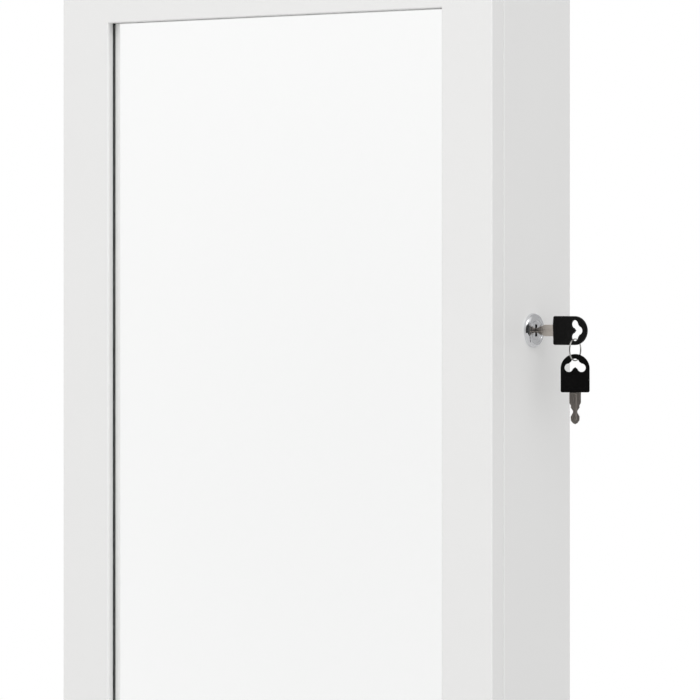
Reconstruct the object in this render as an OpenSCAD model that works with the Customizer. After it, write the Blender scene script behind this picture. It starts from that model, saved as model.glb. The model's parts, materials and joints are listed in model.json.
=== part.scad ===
// Wall-hung jewelry armoire with a framed mirror door, a side cam lock and its two keys.
// The origin is the centre of the back face: +X to the lock side, +Y into the wall, +Z up.

/* [Cabinet] */
// Width over the side panels
body_w = 370; // [300:1:460]
// Height of the cabinet and of its door
body_h = 1200; // [1000:10:1500]
// Depth of the cabinet without the door
body_d = 90; // [75:1:130]
// Thickness of the side, top and bottom panels
panel_t = 12; // [10:0.5:16]
// Thickness of the back panel
back_t = 5; // [3:0.5:8]
// Width of the rebate that the back panel sits in
back_rebate = 6; // [4:0.5:8]
// Thickness of the velvet-covered lining board
velvet_t = 1.5; // [1:0.1:2.5]

/* [Wall fixing] */
// Height of each hanging rail
hang_rail_h = 40; // [30:1:60]
// Thickness of each hanging rail
hang_rail_t = 15; // [10:1:20]
// Distance between the two screws of one rail
wall_screw_pitch = 240; // [160:5:260]
// Radius of the holes for the wall screws
wall_screw_r = 3; // [2:0.1:4]
// Distance of the wall screws from the hanging rail's inner edge
wall_screw_edge = 10; // [9:0.5:20]
// Outer radius of the cup washers
cup_r = 7; // [5.5:0.5:9]

/* [Door] */
// Thickness of the door frame
door_t = 15; // [12.5:0.5:20]
// Gap between the closed door and the cabinet
door_gap = 0.5; // [0.4:0.1:1.5]
// Width of the two upright frame members
stile_w = 41; // [34:1:55]
// Width of the top and bottom frame members
rail_w = 41; // [34:1:60]
// Width of the rebate behind the frame's inner edge
glass_rebate = 8; // [5:0.5:10]
// Thickness of the mirror
glass_t = 3; // [3:0.5:5]
// Thickness of the hardboard behind the mirror
backing_t = 3; // [2:0.5:4]
// Thickness of the door's velvet board
door_velvet_t = 2; // [1:0.5:3]
// Depth that the velvet board stays below the frame's back
velvet_recess = 1; // [0.5:0.1:2]

/* [Hinges] */
// Length of each hinge
hinge_l = 50; // [40:1:70]
// Width of a hinge leaf
leaf_w = 10.5; // [9:0.5:12]
// Thickness of a hinge leaf
leaf_t = 1; // [0.8:0.1:1.5]
// Distance of the outer hinges' middles from the cabinet's ends
hinge_inset = 110; // [70:5:200]
// Outer radius of the hinge barrel
barrel_r = 2.6; // [2.3:0.1:3.5]
// Radius of the hinge pin
pin_r = 1.25; // [1:0.05:1.6]

/* [Lock] */
// Drop of the lock's axis below the top of the cabinet
lock_drop = 264; // [240:1:320]
// Distance of the lock's axis behind the cabinet's front edge
lock_setback = 38; // [30:0.5:46]
// Radius of the lock's threaded barrel
housing_r = 9.5; // [8:0.5:11]
// Length of the barrel behind the flange
housing_l = 22; // [20:0.5:28]
// Radius of the outer flange
flange_r = 12; // [11:0.5:15]
// Height of the domed flange
flange_h = 3.6; // [2:0.1:5]
// Radius of the turning plug
plug_r = 6.5; // [5.5:0.1:7]

/* [Keys] */
// Length of the plastic bow
bow_l = 26.5; // [24:0.5:30]
// Width of the plastic bow
bow_w = 20; // [18:0.5:24]
// Thickness of the plastic bow
bow_t = 2.8; // [2.4:0.1:3.4]
// Width of the rim beside the bow's opening
bow_rim = 2.7; // [2.2:0.1:3.4]
// Width of the rim at the bow's round end
end_rim = 3.2; // [2.6:0.1:4]
// Length of the blade outside the bow
blade_l = 22; // [20:0.5:24]
// Width of the blade
blade_w = 8; // [6.5:0.1:9.6]
// Thickness of the blade
blade_t = 2.2; // [1.8:0.1:2.4]
// Length of bare blade that shows between the lock and the bow
key_out = 14.3; // [13:0.1:16]
// Inner radius of the key ring
ring_r = 7; // [6:0.1:9]
// Radius of the ring's wire
wire_r = 0.5; // [0.4:0.05:0.6]
// Turn of the hanging key about the vertical
spare_twist = 28; // [0:1:30]

/* [Shelves] */
// Thickness of the shelves and of the divider
shelf_t = 8; // [6:0.5:12]
// Distance of the wide shelves' guards behind the cabinet's front edge
wide_setback = 27; // [22:0.5:35]
// Distance of the narrow shelves' guards behind the cabinet's front edge
narrow_setback = 35; // [30:1:40]
// Width of the right-hand bay
right_bay_w = 128; // [100:1:150]
// Clear height of the ring bay
ring_bay_h = 98; // [92:1:130]
// Distance between the narrow shelves
shelf_pitch = 90; // [75:1:95]
// Drop of the first narrow shelf's top below the lock
first_shelf_drop = 48; // [46:1:60]
// Clear height below the lowest wide shelf
lower_bay_h = 330; // [260:5:360]
// Height of the clear guards above a shelf
guard_rise = 22; // [15:1:25]
// Thickness of the clear guards
guard_t = 3; // [2:0.5:4]

/* [Fittings] */
// Radius of a foam roll
roll_r = 5.8; // [4.5:0.1:7.5]
// Distance between the hooks on the cabinet's rail
hook_pitch = 21; // [16:1:30]
// Distance between the hooks on the door
door_hook_pitch = 26; // [18:1:36]
// Radius of the hook wire
hook_r = 1.3; // [1:0.1:1.6]
// Radius of the bracelet rods
rod_r = 5; // [4:0.5:7]
// Height of the chain pouch
pouch_h = 86; // [60:1:100]
// Depth of the chain pouch
pouch_d = 24; // [15:1:26]
// Distance of the earring board from the sides of the mirror's opening
board_margin = 19; // [15:1:40]
// Height of the earring board
board_h = 330; // [250:1:340]
// Space between the earring board and the door's velvet
board_gap = 12; // [8:0.5:13]
// Distance between the slots of one row
slot_pitch = 21.6; // [14:0.1:30]
// Distance between a row of slots and the next row of holes
row_pitch = 22; // [14:1:36]

/* [Hidden] */
$fn = 48;

// Colours
paint = "#f2f2f0";
velvet = "#e9e6e1";
steel = "#b9bcc0";
chrome = "#d8dadd";
plastic_black = "#121212";
clear = "#dfeaf0";
eps = 0.01;

// Cabinet planes
half_w = body_w/2;
half_h = body_h/2;
in_w = half_w - panel_t;        // half the inner width
in_h = half_h - panel_t;        // half the inner height
body_front = -body_d;
lining_front = -back_t - velvet_t;
wall_screw_z = in_h - hang_rail_h + wall_screw_edge;

// Door planes
door_back = body_front - door_gap;
door_front = door_back - door_t;
velvet_back = door_back - velvet_recess;
velvet_front = velvet_back - door_velvet_t;
backing_front = velvet_front - backing_t;
glass_front = backing_front - glass_t;
open_w = half_w - stile_w;      // half the mirror opening's width
open_h = half_h - rail_w;       // half the mirror opening's height
rebate_fit = 0.75;              // clearance round the mirror in its rebate
pane_w = open_w + glass_rebate - rebate_fit;
pane_h = open_h + glass_rebate - rebate_fit;

// Hinges
leaf_gap = 0.3;                 // space between the closed leaves
barrel_clear = 0.3;
pin_x = -half_w - barrel_r - barrel_clear;
pin_y = body_front - door_gap/2;
pin_fit = 0.05;
hinge_z = [half_h - hinge_inset, 0, hinge_inset - half_h];
knuckles = 5;
knuckle_l = hinge_l/knuckles;
knuckle_clear = 0.15;
leaf_screw_z = [-17, 0, 17]*hinge_l/50;
leaf_screw_r = 1.4;
leaf_head_r = 2.6;
leaf_screw_l = 12;
door_screw_l = door_t - 3;
screw_fit = 0.05;
mortise_fit = 0.1;
leaf_cut = leaf_gap/2 + leaf_t - door_gap/2; // depth of a leaf's mortise

// Lock
lock_y = body_front + lock_setback;
cam_l = lock_setback - 3;       // reach of the cam from the lock's axis
lock_z = half_h - lock_drop;
nut_t = 4;
nut_af = 2*housing_r + 5;
face_r = flange_r - 3.4;        // rim of the flange round the plug's face
face_drop = 0.5;                // depth of the plug's face below that rim
plug_fit = 0.05;
plug_front = half_w + flange_h - face_drop;
housing_back = half_w - housing_l;
plug_back = housing_back - 1.8;
cam_t = 2;
cam_w = 9;
cam_hub_r = 7.5;
nose_w = 6;
nose_l = 7;
boss_w = 7;
cam_x = plug_back - cam_t/2;    // middle of the cam's thickness
cam_screw_r = 1.6;
cam_screw_l = 6.8;
keyway_fit = 0.2;
keyway_back = housing_back + 5;

// Strike bracket on the door, with the slot that the cam's nose drops into
strike_t = 1.5;
strike_z = lock_z - cam_w/2 - nose_l + 3;    // top of the slotted plate
strike_x = [cam_x - 8.2, in_w - 3];
strike_base_x = cam_x - 2.2;
slot_x = 2.5;                   // half the slot's width
slot_y = [lock_y - cam_l - 1.5, lock_y - cam_l + nose_w + 2];
strike_depth = slot_y[1] + 5 - door_back;
strike_base_h = 24;
strike_screw_x = (strike_base_x + strike_x[1])/2;
strike_screw_z = [strike_z - 8, strike_z - 18];

// Keys. Key coordinates run along the blade: u = 0 at the bow's shoulder, the bow at u > 0
key_x = plug_front + key_out;
bow_r = bow_w/2;
lobe_r = 2.9;
lobe_u = bow_l - bow_r + 0.5;   // the two side lobes of the bow's opening
lobe_v = bow_r - bow_rim - lobe_r;
top_lobe_u = bow_l - end_rim - lobe_r;
blade_root = 9;                 // length of blade held in the bow
root_w = blade_w - 0.8;
hang_fit = 0.4;                 // clearance round a rim that turns in the ring
rim_clear = norm([bow_rim, bow_t])/2 + hang_fit; // ring's inner edge from the rim's middle
spare_clear = norm([end_rim, bow_t])/2 + hang_fit;
ring_x = key_x + lobe_u;
rim_z = lock_z - bow_r + bow_rim/2;
ring_z = rim_z + rim_clear - ring_r;
spare_z = ring_z - ring_r + spare_clear + end_rim/2; // top of the spare key's bow

// Interior planes
narrow_shelves = 4;
ring_shelf_z = in_h - hang_rail_h - ring_bay_h;      // top of shelf_1
low_shelf_z = -in_h + lower_bay_h;                   // top of shelf_6
mid_shelf_z = -in_h + (lower_bay_h - shelf_t)/2;     // top of shelf_7
wide_front = body_front + wide_setback + guard_t;    // front edges of the wide shelves
narrow_front = body_front + narrow_setback + guard_t;
div_x = in_w - right_bay_w;                          // right face of the divider
narrow_z = [for (i = [0:narrow_shelves - 1]) lock_z - first_shelf_drop - i*shelf_pitch];
rod_bay_top = narrow_z[narrow_shelves - 1] - shelf_t;
rod_z = [for (i = [1, 2]) rod_bay_top + (low_shelf_z - rod_bay_top)*i/3];
rod_y = lining_front - 28;
socket_l = 6;
socket_wall = 3;

// Ring cushion
cushion_w = in_w - 8;           // half the cushion's width
cushion_t = 6;
cheek_t = 4;
roll_pitch = 2*roll_r + 0.4;
roll_count = floor((ring_bay_h - 12)/roll_pitch);
roll_y = lining_front - cushion_t - roll_r - 0.05;
cushion_z = ring_shelf_z + ring_bay_h/2;
cushion_h = roll_count*roll_pitch + 2;

// Necklace rail and pouch, centred in the left bay
left_bay = [-in_w, div_x - shelf_t];
left_mid = (left_bay[0] + left_bay[1])/2;
hook_count = floor((left_bay[1] - left_bay[0] - 20)/hook_pitch);
rail_t = 10;
rail_h = 24;
rail_z = ring_shelf_z - shelf_t - 14;                // top of the necklace rail
hook_reach = 18;
hook_tip = 7;
pouch_t = 1.6;
pouch_w = left_bay[1] - left_bay[0] - 25;
pouch_z = low_shelf_z + 14;

// Door fittings
board_t = 2;
flange_t = 4;
board_w = 2*(open_w - board_margin);
board_top = half_h - 100;
slot_size = [10, 2];
stud_hole_r = 1.1;
slots_per_row = floor((board_w - 3*flange_t)/slot_pitch);
slot_rows = floor((board_h/row_pitch - 1)/2);
door_rail_t = 8;
door_rail_z = board_top - board_h - 86;              // top of the door's hook rail
door_hook_count = floor((2*open_w - 80)/door_hook_pitch);
door_hook_reach = wide_setback - 11;                 // stays clear of the shelf guards
catch_size = [40, 14, 12];
catch_x = in_w/2 + 34;
catch_gap = 0.4;
strike_plate_t = 0.8;
clip_z = [half_h - 120, lock_z - 96, 0, 96 - lock_z, 120 - half_h]; // clear of the bracket
clip_t = 1.2;
clip_over = 6;
clip_on = 10;
clip_h = 9;
back_screw_z = [for (i = [-2:2]) i*(in_h - 30)/2];
back_screw_r = 1.2;
back_head_r = 3;
back_screw_l = 18;

// A box from its low and high planes on each axis
module span(x, y, z)
    translate([x[0], y[0], z[0]]) cube([x[1] - x[0], y[1] - y[0], z[1] - z[0]]);

// A cylinder along X or along Y from a to b
module rod_along_x(a, b, y, z, r)
    translate([a, y, z]) rotate([0, 90, 0]) cylinder(h = b - a, r = r);

module rod_along_y(a, b, x, z, r)
    translate([x, a, z]) rotate([-90, 0, 0]) cylinder(h = b - a, r = r);

// A countersunk screw whose head is flush at the origin, driven along -Z
module flat_screw(r, head_r, head_h, l) {
    translate([0, 0, -head_h]) cylinder(h = head_h, r1 = r, r2 = head_r);
    translate([0, 0, -l]) cylinder(h = l - head_h + eps, r = r);
}

// ---- Cabinet ----

module side_blank(s)
    difference() {
        span([min(s*half_w, s*in_w), max(s*half_w, s*in_w)], [body_front, 0], [-half_h, half_h]);
        span([min(s*in_w, s*(in_w + back_rebate)) - (s > 0 ? eps : 0),
              max(s*in_w, s*(in_w + back_rebate)) + (s > 0 ? 0 : eps)],
             [-back_t, eps], [-in_h - back_rebate, in_h + back_rebate]);
        for (z = back_screw_z) back_screw_hole(s, z);
    }

module back_screw_hole(s, z)
    rod_along_y(-back_screw_l - screw_fit, eps, s*(in_w + back_rebate/2), z,
        back_screw_r + screw_fit);

module side_panel_left()
    color(paint) difference() {
        side_blank(-1);
        for (z = hinge_z) {
            span([-half_w - eps, -half_w + leaf_w + mortise_fit],
                 [body_front - eps, body_front + leaf_cut],
                 [z - hinge_l/2 - mortise_fit, z + hinge_l/2 + mortise_fit]);
            for (dz = leaf_screw_z)
                rod_along_y(body_front, body_front + leaf_screw_l + 1, -half_w + leaf_w/2,
                    z + dz, leaf_screw_r + screw_fit);
        }
    }

module side_panel_right()
    color(paint) difference() {
        side_blank(1);
        rod_along_x(in_w - eps, half_w + eps, lock_y, lock_z, housing_r + screw_fit);
    }

// The top panel, mirrored down for the bottom one
module end_panel()
    difference() {
        span([-in_w, in_w], [body_front, 0], [in_h, half_h]);
        span([-in_w - eps, in_w + eps], [-back_t, eps], [in_h - eps, in_h + back_rebate]);
    }

module top_panel() color(paint) end_panel();

module bottom_panel() color(paint) mirror([0, 0, 1]) end_panel();

module wall_holes(r, a, b)
    for (x = [-1, 1], z = [-1, 1])
        rod_along_y(a, b, x*wall_screw_pitch/2, z*wall_screw_z, r);

module back_panel()
    color(paint) difference() {
        span([-in_w - back_rebate, in_w + back_rebate], [-back_t, 0],
             [-in_h - back_rebate, in_h + back_rebate]);
        wall_holes(wall_screw_r, -back_t - eps, eps);
        for (s = [-1, 1], z = back_screw_z) {
            back_screw_hole(s, z);
            translate([s*(in_w + back_rebate/2), 0, z]) rotate([-90, 0, 0])
                translate([0, 0, -2]) cylinder(h = 2 + eps, r1 = back_screw_r + screw_fit,
                    r2 = back_head_r + screw_fit);
        }
    }

module back_screws()
    color(steel) for (s = [-1, 1], z = back_screw_z)
        translate([s*(in_w + back_rebate/2), 0, z]) rotate([-90, 0, 0])
            flat_screw(back_screw_r, back_head_r, 2, back_screw_l);

module hanging_rail()
    difference() {
        span([-in_w, in_w], [-back_t - hang_rail_t, -back_t], [in_h - hang_rail_h, in_h]);
        wall_holes(wall_screw_r, -back_t - hang_rail_t - eps, -back_t + eps);
    }

module hanging_rail_top() color(paint) hanging_rail();

module hanging_rail_bottom() color(paint) mirror([0, 0, 1]) hanging_rail();

module cup_washers()
    color(steel) for (x = [-1, 1], z = [-1, 1])
        translate([x*wall_screw_pitch/2, -back_t - hang_rail_t, z*wall_screw_z])
            rotate([90, 0, 0]) difference() {
                cylinder(h = 1.8, r1 = cup_r, r2 = cup_r - 1.6);
                translate([0, 0, -eps]) cylinder(h = 2, r = wall_screw_r + 0.3);
            }

module back_lining()
    color(velvet) span([-in_w + 0.5, in_w - 0.5], [lining_front, -back_t],
        [-in_h + hang_rail_h + 0.5, in_h - hang_rail_h - 0.5]);

// ---- Shelves ----

module divider()
    color(paint) span([div_x - shelf_t, div_x], [wide_front, lining_front],
        [low_shelf_z, ring_shelf_z - shelf_t]);

module wide_shelf(z)
    color(paint) span([-in_w, in_w], [wide_front, lining_front], [z - shelf_t, z]);

module narrow_shelf(z)
    color(paint) span([div_x, in_w], [narrow_front, lining_front], [z - shelf_t, z]);

module guard(x, front, z)
    span([x[0] + 0.5, x[1] - 0.5], [front - guard_t, front], [z - shelf_t, z + guard_rise]);

module shelf_guards()
    color(clear) {
        for (z = narrow_z) guard([div_x, in_w], narrow_front, z);
        for (z = [ring_shelf_z, low_shelf_z, mid_shelf_z]) guard([-in_w, in_w], wide_front, z);
        span([0.5 - in_w, in_w - 0.5], [wide_front - guard_t, wide_front],
             [-in_h, -in_h + guard_rise]);
    }

// ---- Fittings in the cabinet ----

module ring_base()
    color(velvet) {
        z = [cushion_z - cushion_h/2, cushion_z + cushion_h/2];
        span([-cushion_w, cushion_w], [lining_front - cushion_t, lining_front], z);
        for (s = [-1, 1])
            span([min(s*cushion_w, s*(cushion_w - cheek_t)), max(s*cushion_w, s*(cushion_w - cheek_t))],
                 [roll_y - roll_r, lining_front - cushion_t], z);
    }

module ring_rolls()
    color(velvet) for (i = [0:roll_count - 1])
        rod_along_x(-cushion_w + cheek_t + 0.5, cushion_w - cheek_t - 0.5, roll_y,
            cushion_z + (i - (roll_count - 1)/2)*roll_pitch, roll_r);

// A round-wire hook that leaves its rail along +Z and turns up along +Y
module hook(reach, r) {
    cylinder(h = 1.2, r = 3.2);
    cylinder(h = reach, r = r);
    translate([0, 0, reach]) sphere(r = r);
    translate([0, 0, reach]) rotate([-90, 0, 0]) cylinder(h = hook_tip, r = r);
    translate([0, hook_tip, reach]) sphere(r = r + 0.4);
}

module necklace_rail()
    color(paint) span([left_mid - hook_count*hook_pitch/2, left_mid + hook_count*hook_pitch/2],
        [lining_front - rail_t, lining_front], [rail_z - rail_h, rail_z]);

module necklace_hooks()
    color(chrome) for (i = [0:hook_count - 1])
        translate([left_mid + (i - (hook_count - 1)/2)*hook_pitch, lining_front - rail_t,
                rail_z - rail_h/2])
            rotate([90, 0, 0]) hook(hook_reach, hook_r);

module chain_pouch()
    color(velvet) difference() {
        span([left_mid - pouch_w/2, left_mid + pouch_w/2],
             [lining_front - pouch_d, lining_front], [pouch_z, pouch_z + pouch_h]);
        span([left_mid - pouch_w/2 + pouch_t, left_mid + pouch_w/2 - pouch_t],
             [lining_front - pouch_d + pouch_t, lining_front - pouch_t],
             [pouch_z + pouch_t, pouch_z + pouch_h + eps]);
    }

module bracelet_rods()
    color(chrome) for (z = rod_z)
        rod_along_x(div_x + socket_l - socket_wall + 0.1, in_w - socket_l + socket_wall - 0.1,
            rod_y, z, rod_r);

module rod_sockets()
    color(chrome) for (z = rod_z) {
        difference() {
            rod_along_x(div_x, div_x + socket_l, rod_y, z, rod_r + socket_wall);
            rod_along_x(div_x + socket_l - socket_wall, div_x + socket_l + eps, rod_y, z,
                rod_r + screw_fit);
        }
        difference() {
            rod_along_x(in_w - socket_l, in_w, rod_y, z, rod_r + socket_wall);
            rod_along_x(in_w - socket_l - eps, in_w - socket_l + socket_wall, rod_y, z,
                rod_r + screw_fit);
        }
    }

module magnet_catches()
    color(plastic_black) for (s = [-1, 1]) mirror([0, 0, s < 0 ? 1 : 0])
        span([catch_x - catch_size[0]/2, catch_x + catch_size[0]/2],
             [door_back + strike_plate_t + catch_gap, door_back + strike_plate_t + catch_gap
                + catch_size[1]],
             [in_h - catch_size[2], in_h]);

// ---- Hinges ----

// One leaf at height z: side 1 is screwed to the cabinet, side -1 to the door
module hinge_leaf(z, side) {
    y = side > 0 ? [pin_y + leaf_gap/2, pin_y + leaf_gap/2 + leaf_t]
                 : [pin_y - leaf_gap/2 - leaf_t, pin_y - leaf_gap/2];
    first = side > 0 ? 0 : 1;
    color(steel) difference() {
        union() {
            span([-half_w, -half_w + leaf_w], y, [z - hinge_l/2, z + hinge_l/2]);
            for (k = [first:2:knuckles - 1]) {
                low = z - hinge_l/2 + k*knuckle_l + knuckle_clear;
                high = low + knuckle_l - 2*knuckle_clear;
                translate([pin_x, pin_y, low]) cylinder(h = high - low, r = barrel_r);
                span([pin_x, -half_w + eps], y, [low, high]);
            }
        }
        translate([pin_x, pin_y, z - hinge_l/2 - 1])
            cylinder(h = hinge_l + 2, r = pin_r + pin_fit);
        for (dz = leaf_screw_z)
            translate([-half_w + leaf_w/2, side > 0 ? y[0] : y[1], z + dz])
                rotate([side > 0 ? 90 : -90, 0, 0]) translate([0, 0, -leaf_t - eps])
                    cylinder(h = leaf_t + 2*eps, r1 = leaf_screw_r + screw_fit,
                        r2 = leaf_head_r + screw_fit);
    }
}

module leaf_screws(side)
    color(steel) for (z = hinge_z, dz = leaf_screw_z)
        translate([-half_w + leaf_w/2, pin_y + side*leaf_gap/2, z + dz])
            rotate([side > 0 ? 90 : -90, 0, 0])
                flat_screw(leaf_screw_r, leaf_head_r, leaf_t,
                    side > 0 ? leaf_screw_l : door_screw_l);

module hinge_pins()
    color(steel) for (z = hinge_z) translate([pin_x, pin_y, z]) {
        translate([0, 0, -hinge_l/2 - 0.5]) cylinder(h = hinge_l + 1, r = pin_r);
        for (s = [-1, 1]) translate([0, 0, s*(hinge_l/2 + 1) - 0.8])
            cylinder(h = 1.6, r = barrel_r - 0.3);
    }

// ---- Lock ----

module lock_housing()
    color(chrome) translate([half_w, lock_y, lock_z]) rotate([0, 90, 0]) rotate_extrude()
        difference() {
            polygon([[0, -housing_l], [housing_r, -housing_l], [housing_r, 0], [flange_r, 0],
                     [flange_r, 0.7], [flange_r - 0.6, 1.4], [face_r + 0.9, flange_h - 0.2],
                     [face_r + 0.4, flange_h], [face_r, flange_h], [face_r, flange_h - face_drop],
                     [0, flange_h - face_drop]]);
            translate([-1, -housing_l - 1])
                square([plug_r + plug_fit + 1, housing_l + flange_h + 2]);
        }

module lock_nut()
    color(steel) translate([in_w - nut_t, lock_y, lock_z]) rotate([0, 90, 0]) difference() {
        cylinder(h = nut_t, r = nut_af/2/cos(30), $fn = 6);
        translate([0, 0, -1]) cylinder(h = nut_t + 2, r = housing_r + screw_fit);
    }

module lock_plug()
    color(chrome) difference() {
        union() {
            rod_along_x(plug_back, plug_front, lock_y, lock_z, plug_r);
            span([plug_back - cam_t, plug_back + eps], [lock_y - boss_w/2, lock_y + boss_w/2],
                 [lock_z - boss_w/2, lock_z + boss_w/2]);
        }
        span([keyway_back, plug_front + 1],
             [lock_y - blade_t/2 - keyway_fit, lock_y + blade_t/2 + keyway_fit],
             [lock_z - blade_w/2 - keyway_fit, lock_z + blade_w/2 + keyway_fit]);
        rod_along_x(plug_back - cam_t - 1, plug_back - cam_t + cam_screw_l + 0.2, lock_y, lock_z,
            cam_screw_r + screw_fit);
    }

// The cam points up when unlocked. Its nose faces the door
module lock_cam()
    color(steel) difference() {
        union() {
            rod_along_x(plug_back - cam_t, plug_back, lock_y, lock_z, cam_hub_r);
            span([plug_back - cam_t, plug_back], [lock_y - cam_w/2, lock_y + cam_w/2],
                 [lock_z, lock_z + cam_l]);
            span([plug_back - cam_t, plug_back], [lock_y - cam_w/2 - nose_l, lock_y],
                 [lock_z + cam_l - nose_w, lock_z + cam_l]);
        }
        span([plug_back - cam_t - 1, plug_back + 1],
             [lock_y - boss_w/2 - screw_fit, lock_y + boss_w/2 + screw_fit],
             [lock_z - boss_w/2 - screw_fit, lock_z + boss_w/2 + screw_fit]);
    }

module cam_screw()
    color(steel) {
        rod_along_x(plug_back - cam_t - 2.2, plug_back - cam_t, lock_y, lock_z, 5.2);
        rod_along_x(plug_back - cam_t - eps, plug_back - cam_t + cam_screw_l, lock_y, lock_z,
            cam_screw_r);
    }

// ---- Keys, drawn in the u, v plane and extruded about their middle ----

module bow_outline() {
    translate([1.2, -bow_r]) square([bow_l - bow_r - 1.2, bow_w]);
    translate([0, -bow_r + 1.2]) square([2, bow_w - 2.4]);
    for (s = [-1, 1]) translate([1.2, s*(bow_r - 1.2)]) circle(r = 1.2);
    translate([bow_l - bow_r, 0]) circle(r = bow_r);
}

// The three-lobed opening, with the small point between its side lobes
module bow_opening() {
    for (s = [-1, 1]) {
        translate([lobe_u, s*lobe_v]) circle(r = lobe_r);
        translate([lobe_u, s*lobe_v])
            rotate([0, 0, s*atan2(-lobe_v, top_lobe_u - lobe_u)])
                translate([0, -lobe_r*0.8]) square([norm([lobe_v, top_lobe_u - lobe_u]), 1.6*lobe_r]);
    }
    translate([top_lobe_u, 0]) circle(r = lobe_r);
}

module bow()
    difference() {
        translate([0, 0, -bow_t/2]) linear_extrude(bow_t) difference() {
            bow_outline();
            bow_opening();
        }
        translate([-1, -root_w/2, -blade_t/2]) cube([blade_root + 1, root_w, blade_t]);
        for (s = [-1, 1]) translate([3, -bow_r*0.7, s*bow_t/2 - 0.2])
            cube([7, bow_r*1.4, 0.4]);
    }

module blade() {
    half = [[0, 1], [-0.33, 1], [-0.42, 0.72], [-0.47, 0.78], [-0.58, 0.38], [-0.64, 0.4],
            [-0.76, 0.78], [-0.88, 0.75], [-0.97, 0.38]];
    edge = [for (p = half) [p[0]*blade_l, p[1]*blade_w/2]];
    back = [for (i = [len(edge) - 1:-1:0]) [edge[i][0], -edge[i][1]]];
    difference() {
        translate([0, 0, -blade_t/2]) linear_extrude(blade_t)
            union() {
                polygon(concat(edge, [[-blade_l, 0]], back));
                translate([-eps, -root_w/2]) square([blade_root + eps, root_w]);
            }
        for (s = [-1, 1]) translate([-0.86*blade_l, -0.8, s*blade_t/2 - 0.45])
            cube([0.8*blade_l, 1.6, 0.9]);
    }
}

// In the lock, the key's plane is vertical and its bow faces away from the cabinet
module in_lock()
    translate([key_x, lock_y, lock_z]) rotate([90, 0, 0]) children();

// The spare hangs from the ring with its bow up
module on_ring()
    translate([ring_x, lock_y, spare_z]) rotate([0, 0, spare_twist]) rotate([90, 0, 0])
        rotate([0, 0, 90]) translate([-bow_l, 0, 0]) children();

module key_bow() color(plastic_black) in_lock() bow();
module key_blade() color(steel) in_lock() blade();
module spare_key_bow() color(plastic_black) on_ring() bow();
module spare_key_blade() color(steel) on_ring() blade();

module key_ring()
    color(chrome) translate([ring_x, lock_y, ring_z]) rotate([0, 90, 0]) rotate_extrude()
        translate([ring_r + wire_r, 0]) circle(r = wire_r);

// ---- Door ----

// The right half of the frame's mitre: everything nearer the upright edge than the end edge
module stile_blank()
    difference() {
        translate([0, door_back, 0]) rotate([90, 0, 0]) linear_extrude(door_t)
            polygon([[half_w, -half_h], [half_w, half_h], [open_w, open_h], [open_w, -open_h]]);
        pane_rebate();
    }

module rail_blank()
    difference() {
        translate([0, door_back, 0]) rotate([90, 0, 0]) linear_extrude(door_t)
            polygon([[-half_w, half_h], [half_w, half_h], [open_w, open_h], [-open_w, open_h]]);
        pane_rebate();
    }

module pane_rebate()
    span([-open_w - glass_rebate, open_w + glass_rebate], [glass_front, door_back + eps],
         [-open_h - glass_rebate, open_h + glass_rebate]);

module stile_left()
    color(paint) difference() {
        mirror([1, 0, 0]) stile_blank();
        for (z = hinge_z) {
            span([-half_w - eps, -half_w + leaf_w + mortise_fit],
                 [door_back - leaf_cut, door_back + eps],
                 [z - hinge_l/2 - mortise_fit, z + hinge_l/2 + mortise_fit]);
            for (dz = leaf_screw_z)
                rod_along_y(door_back - door_screw_l - 1, door_back, -half_w + leaf_w/2, z + dz,
                    leaf_screw_r + screw_fit);
        }
    }

module stile_right()
    color(paint) difference() {
        stile_blank();
        for (z = strike_screw_z)
            rod_along_y(door_back - 9, door_back + eps, strike_screw_x, z, 1.25 + screw_fit);
    }

module rail_top() color(paint) rail_blank();
module rail_bottom() color(paint) mirror([0, 0, 1]) rail_blank();

module pane(y)
    span([-pane_w, pane_w], y, [-pane_h, pane_h]);

module mirror_glass() color(chrome) pane([glass_front, backing_front]);
module mirror_backing() color("#9a7b57") pane([backing_front, velvet_front]);
module door_lining() color(velvet) pane([velvet_front, velvet_back]);

module retainer_clips()
    color(steel) for (s = [-1, 1], z = clip_z) mirror([s < 0 ? 1 : 0, 0, 0]) {
        edge = open_w + glass_rebate;
        span([edge - clip_over, edge + clip_on], [door_back, door_back + clip_t],
             [z - clip_h/2, z + clip_h/2]);
        span([edge - clip_over, edge - clip_over + 3], [velvet_back, door_back + eps],
             [z - clip_h/2, z + clip_h/2]);
        rod_along_y(door_back + clip_t - eps, door_back + clip_t + 0.8, edge + clip_on/2, z, 2.4);
    }

module strike_bracket()
    color(steel) difference() {
        union() {
            span(strike_x, [door_back, door_back + strike_depth], [strike_z - strike_t, strike_z]);
            span([strike_base_x, strike_x[1]], [door_back, door_back + strike_t],
                 [strike_z - strike_base_h, strike_z]);
        }
        span([cam_x - slot_x, cam_x + slot_x], slot_y, [strike_z - strike_t - 1, strike_z + 1]);
        for (z = strike_screw_z)
            rod_along_y(door_back - 1, door_back + strike_t + 1, strike_screw_x, z, 1.6);
    }

module strike_screws()
    color(steel) for (z = strike_screw_z) {
        rod_along_y(door_back + strike_t, door_back + strike_t + 1.6, strike_screw_x, z, 2.7);
        rod_along_y(door_back - 8.5, door_back + strike_t + eps, strike_screw_x, z, 1.25);
    }

module magnet_strikes()
    color(steel) for (s = [-1, 1]) mirror([0, 0, s < 0 ? 1 : 0])
        span([catch_x - 16, catch_x + 16], [door_back, door_back + strike_plate_t],
             [in_h - catch_size[2] + 1, in_h - 1]);

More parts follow.
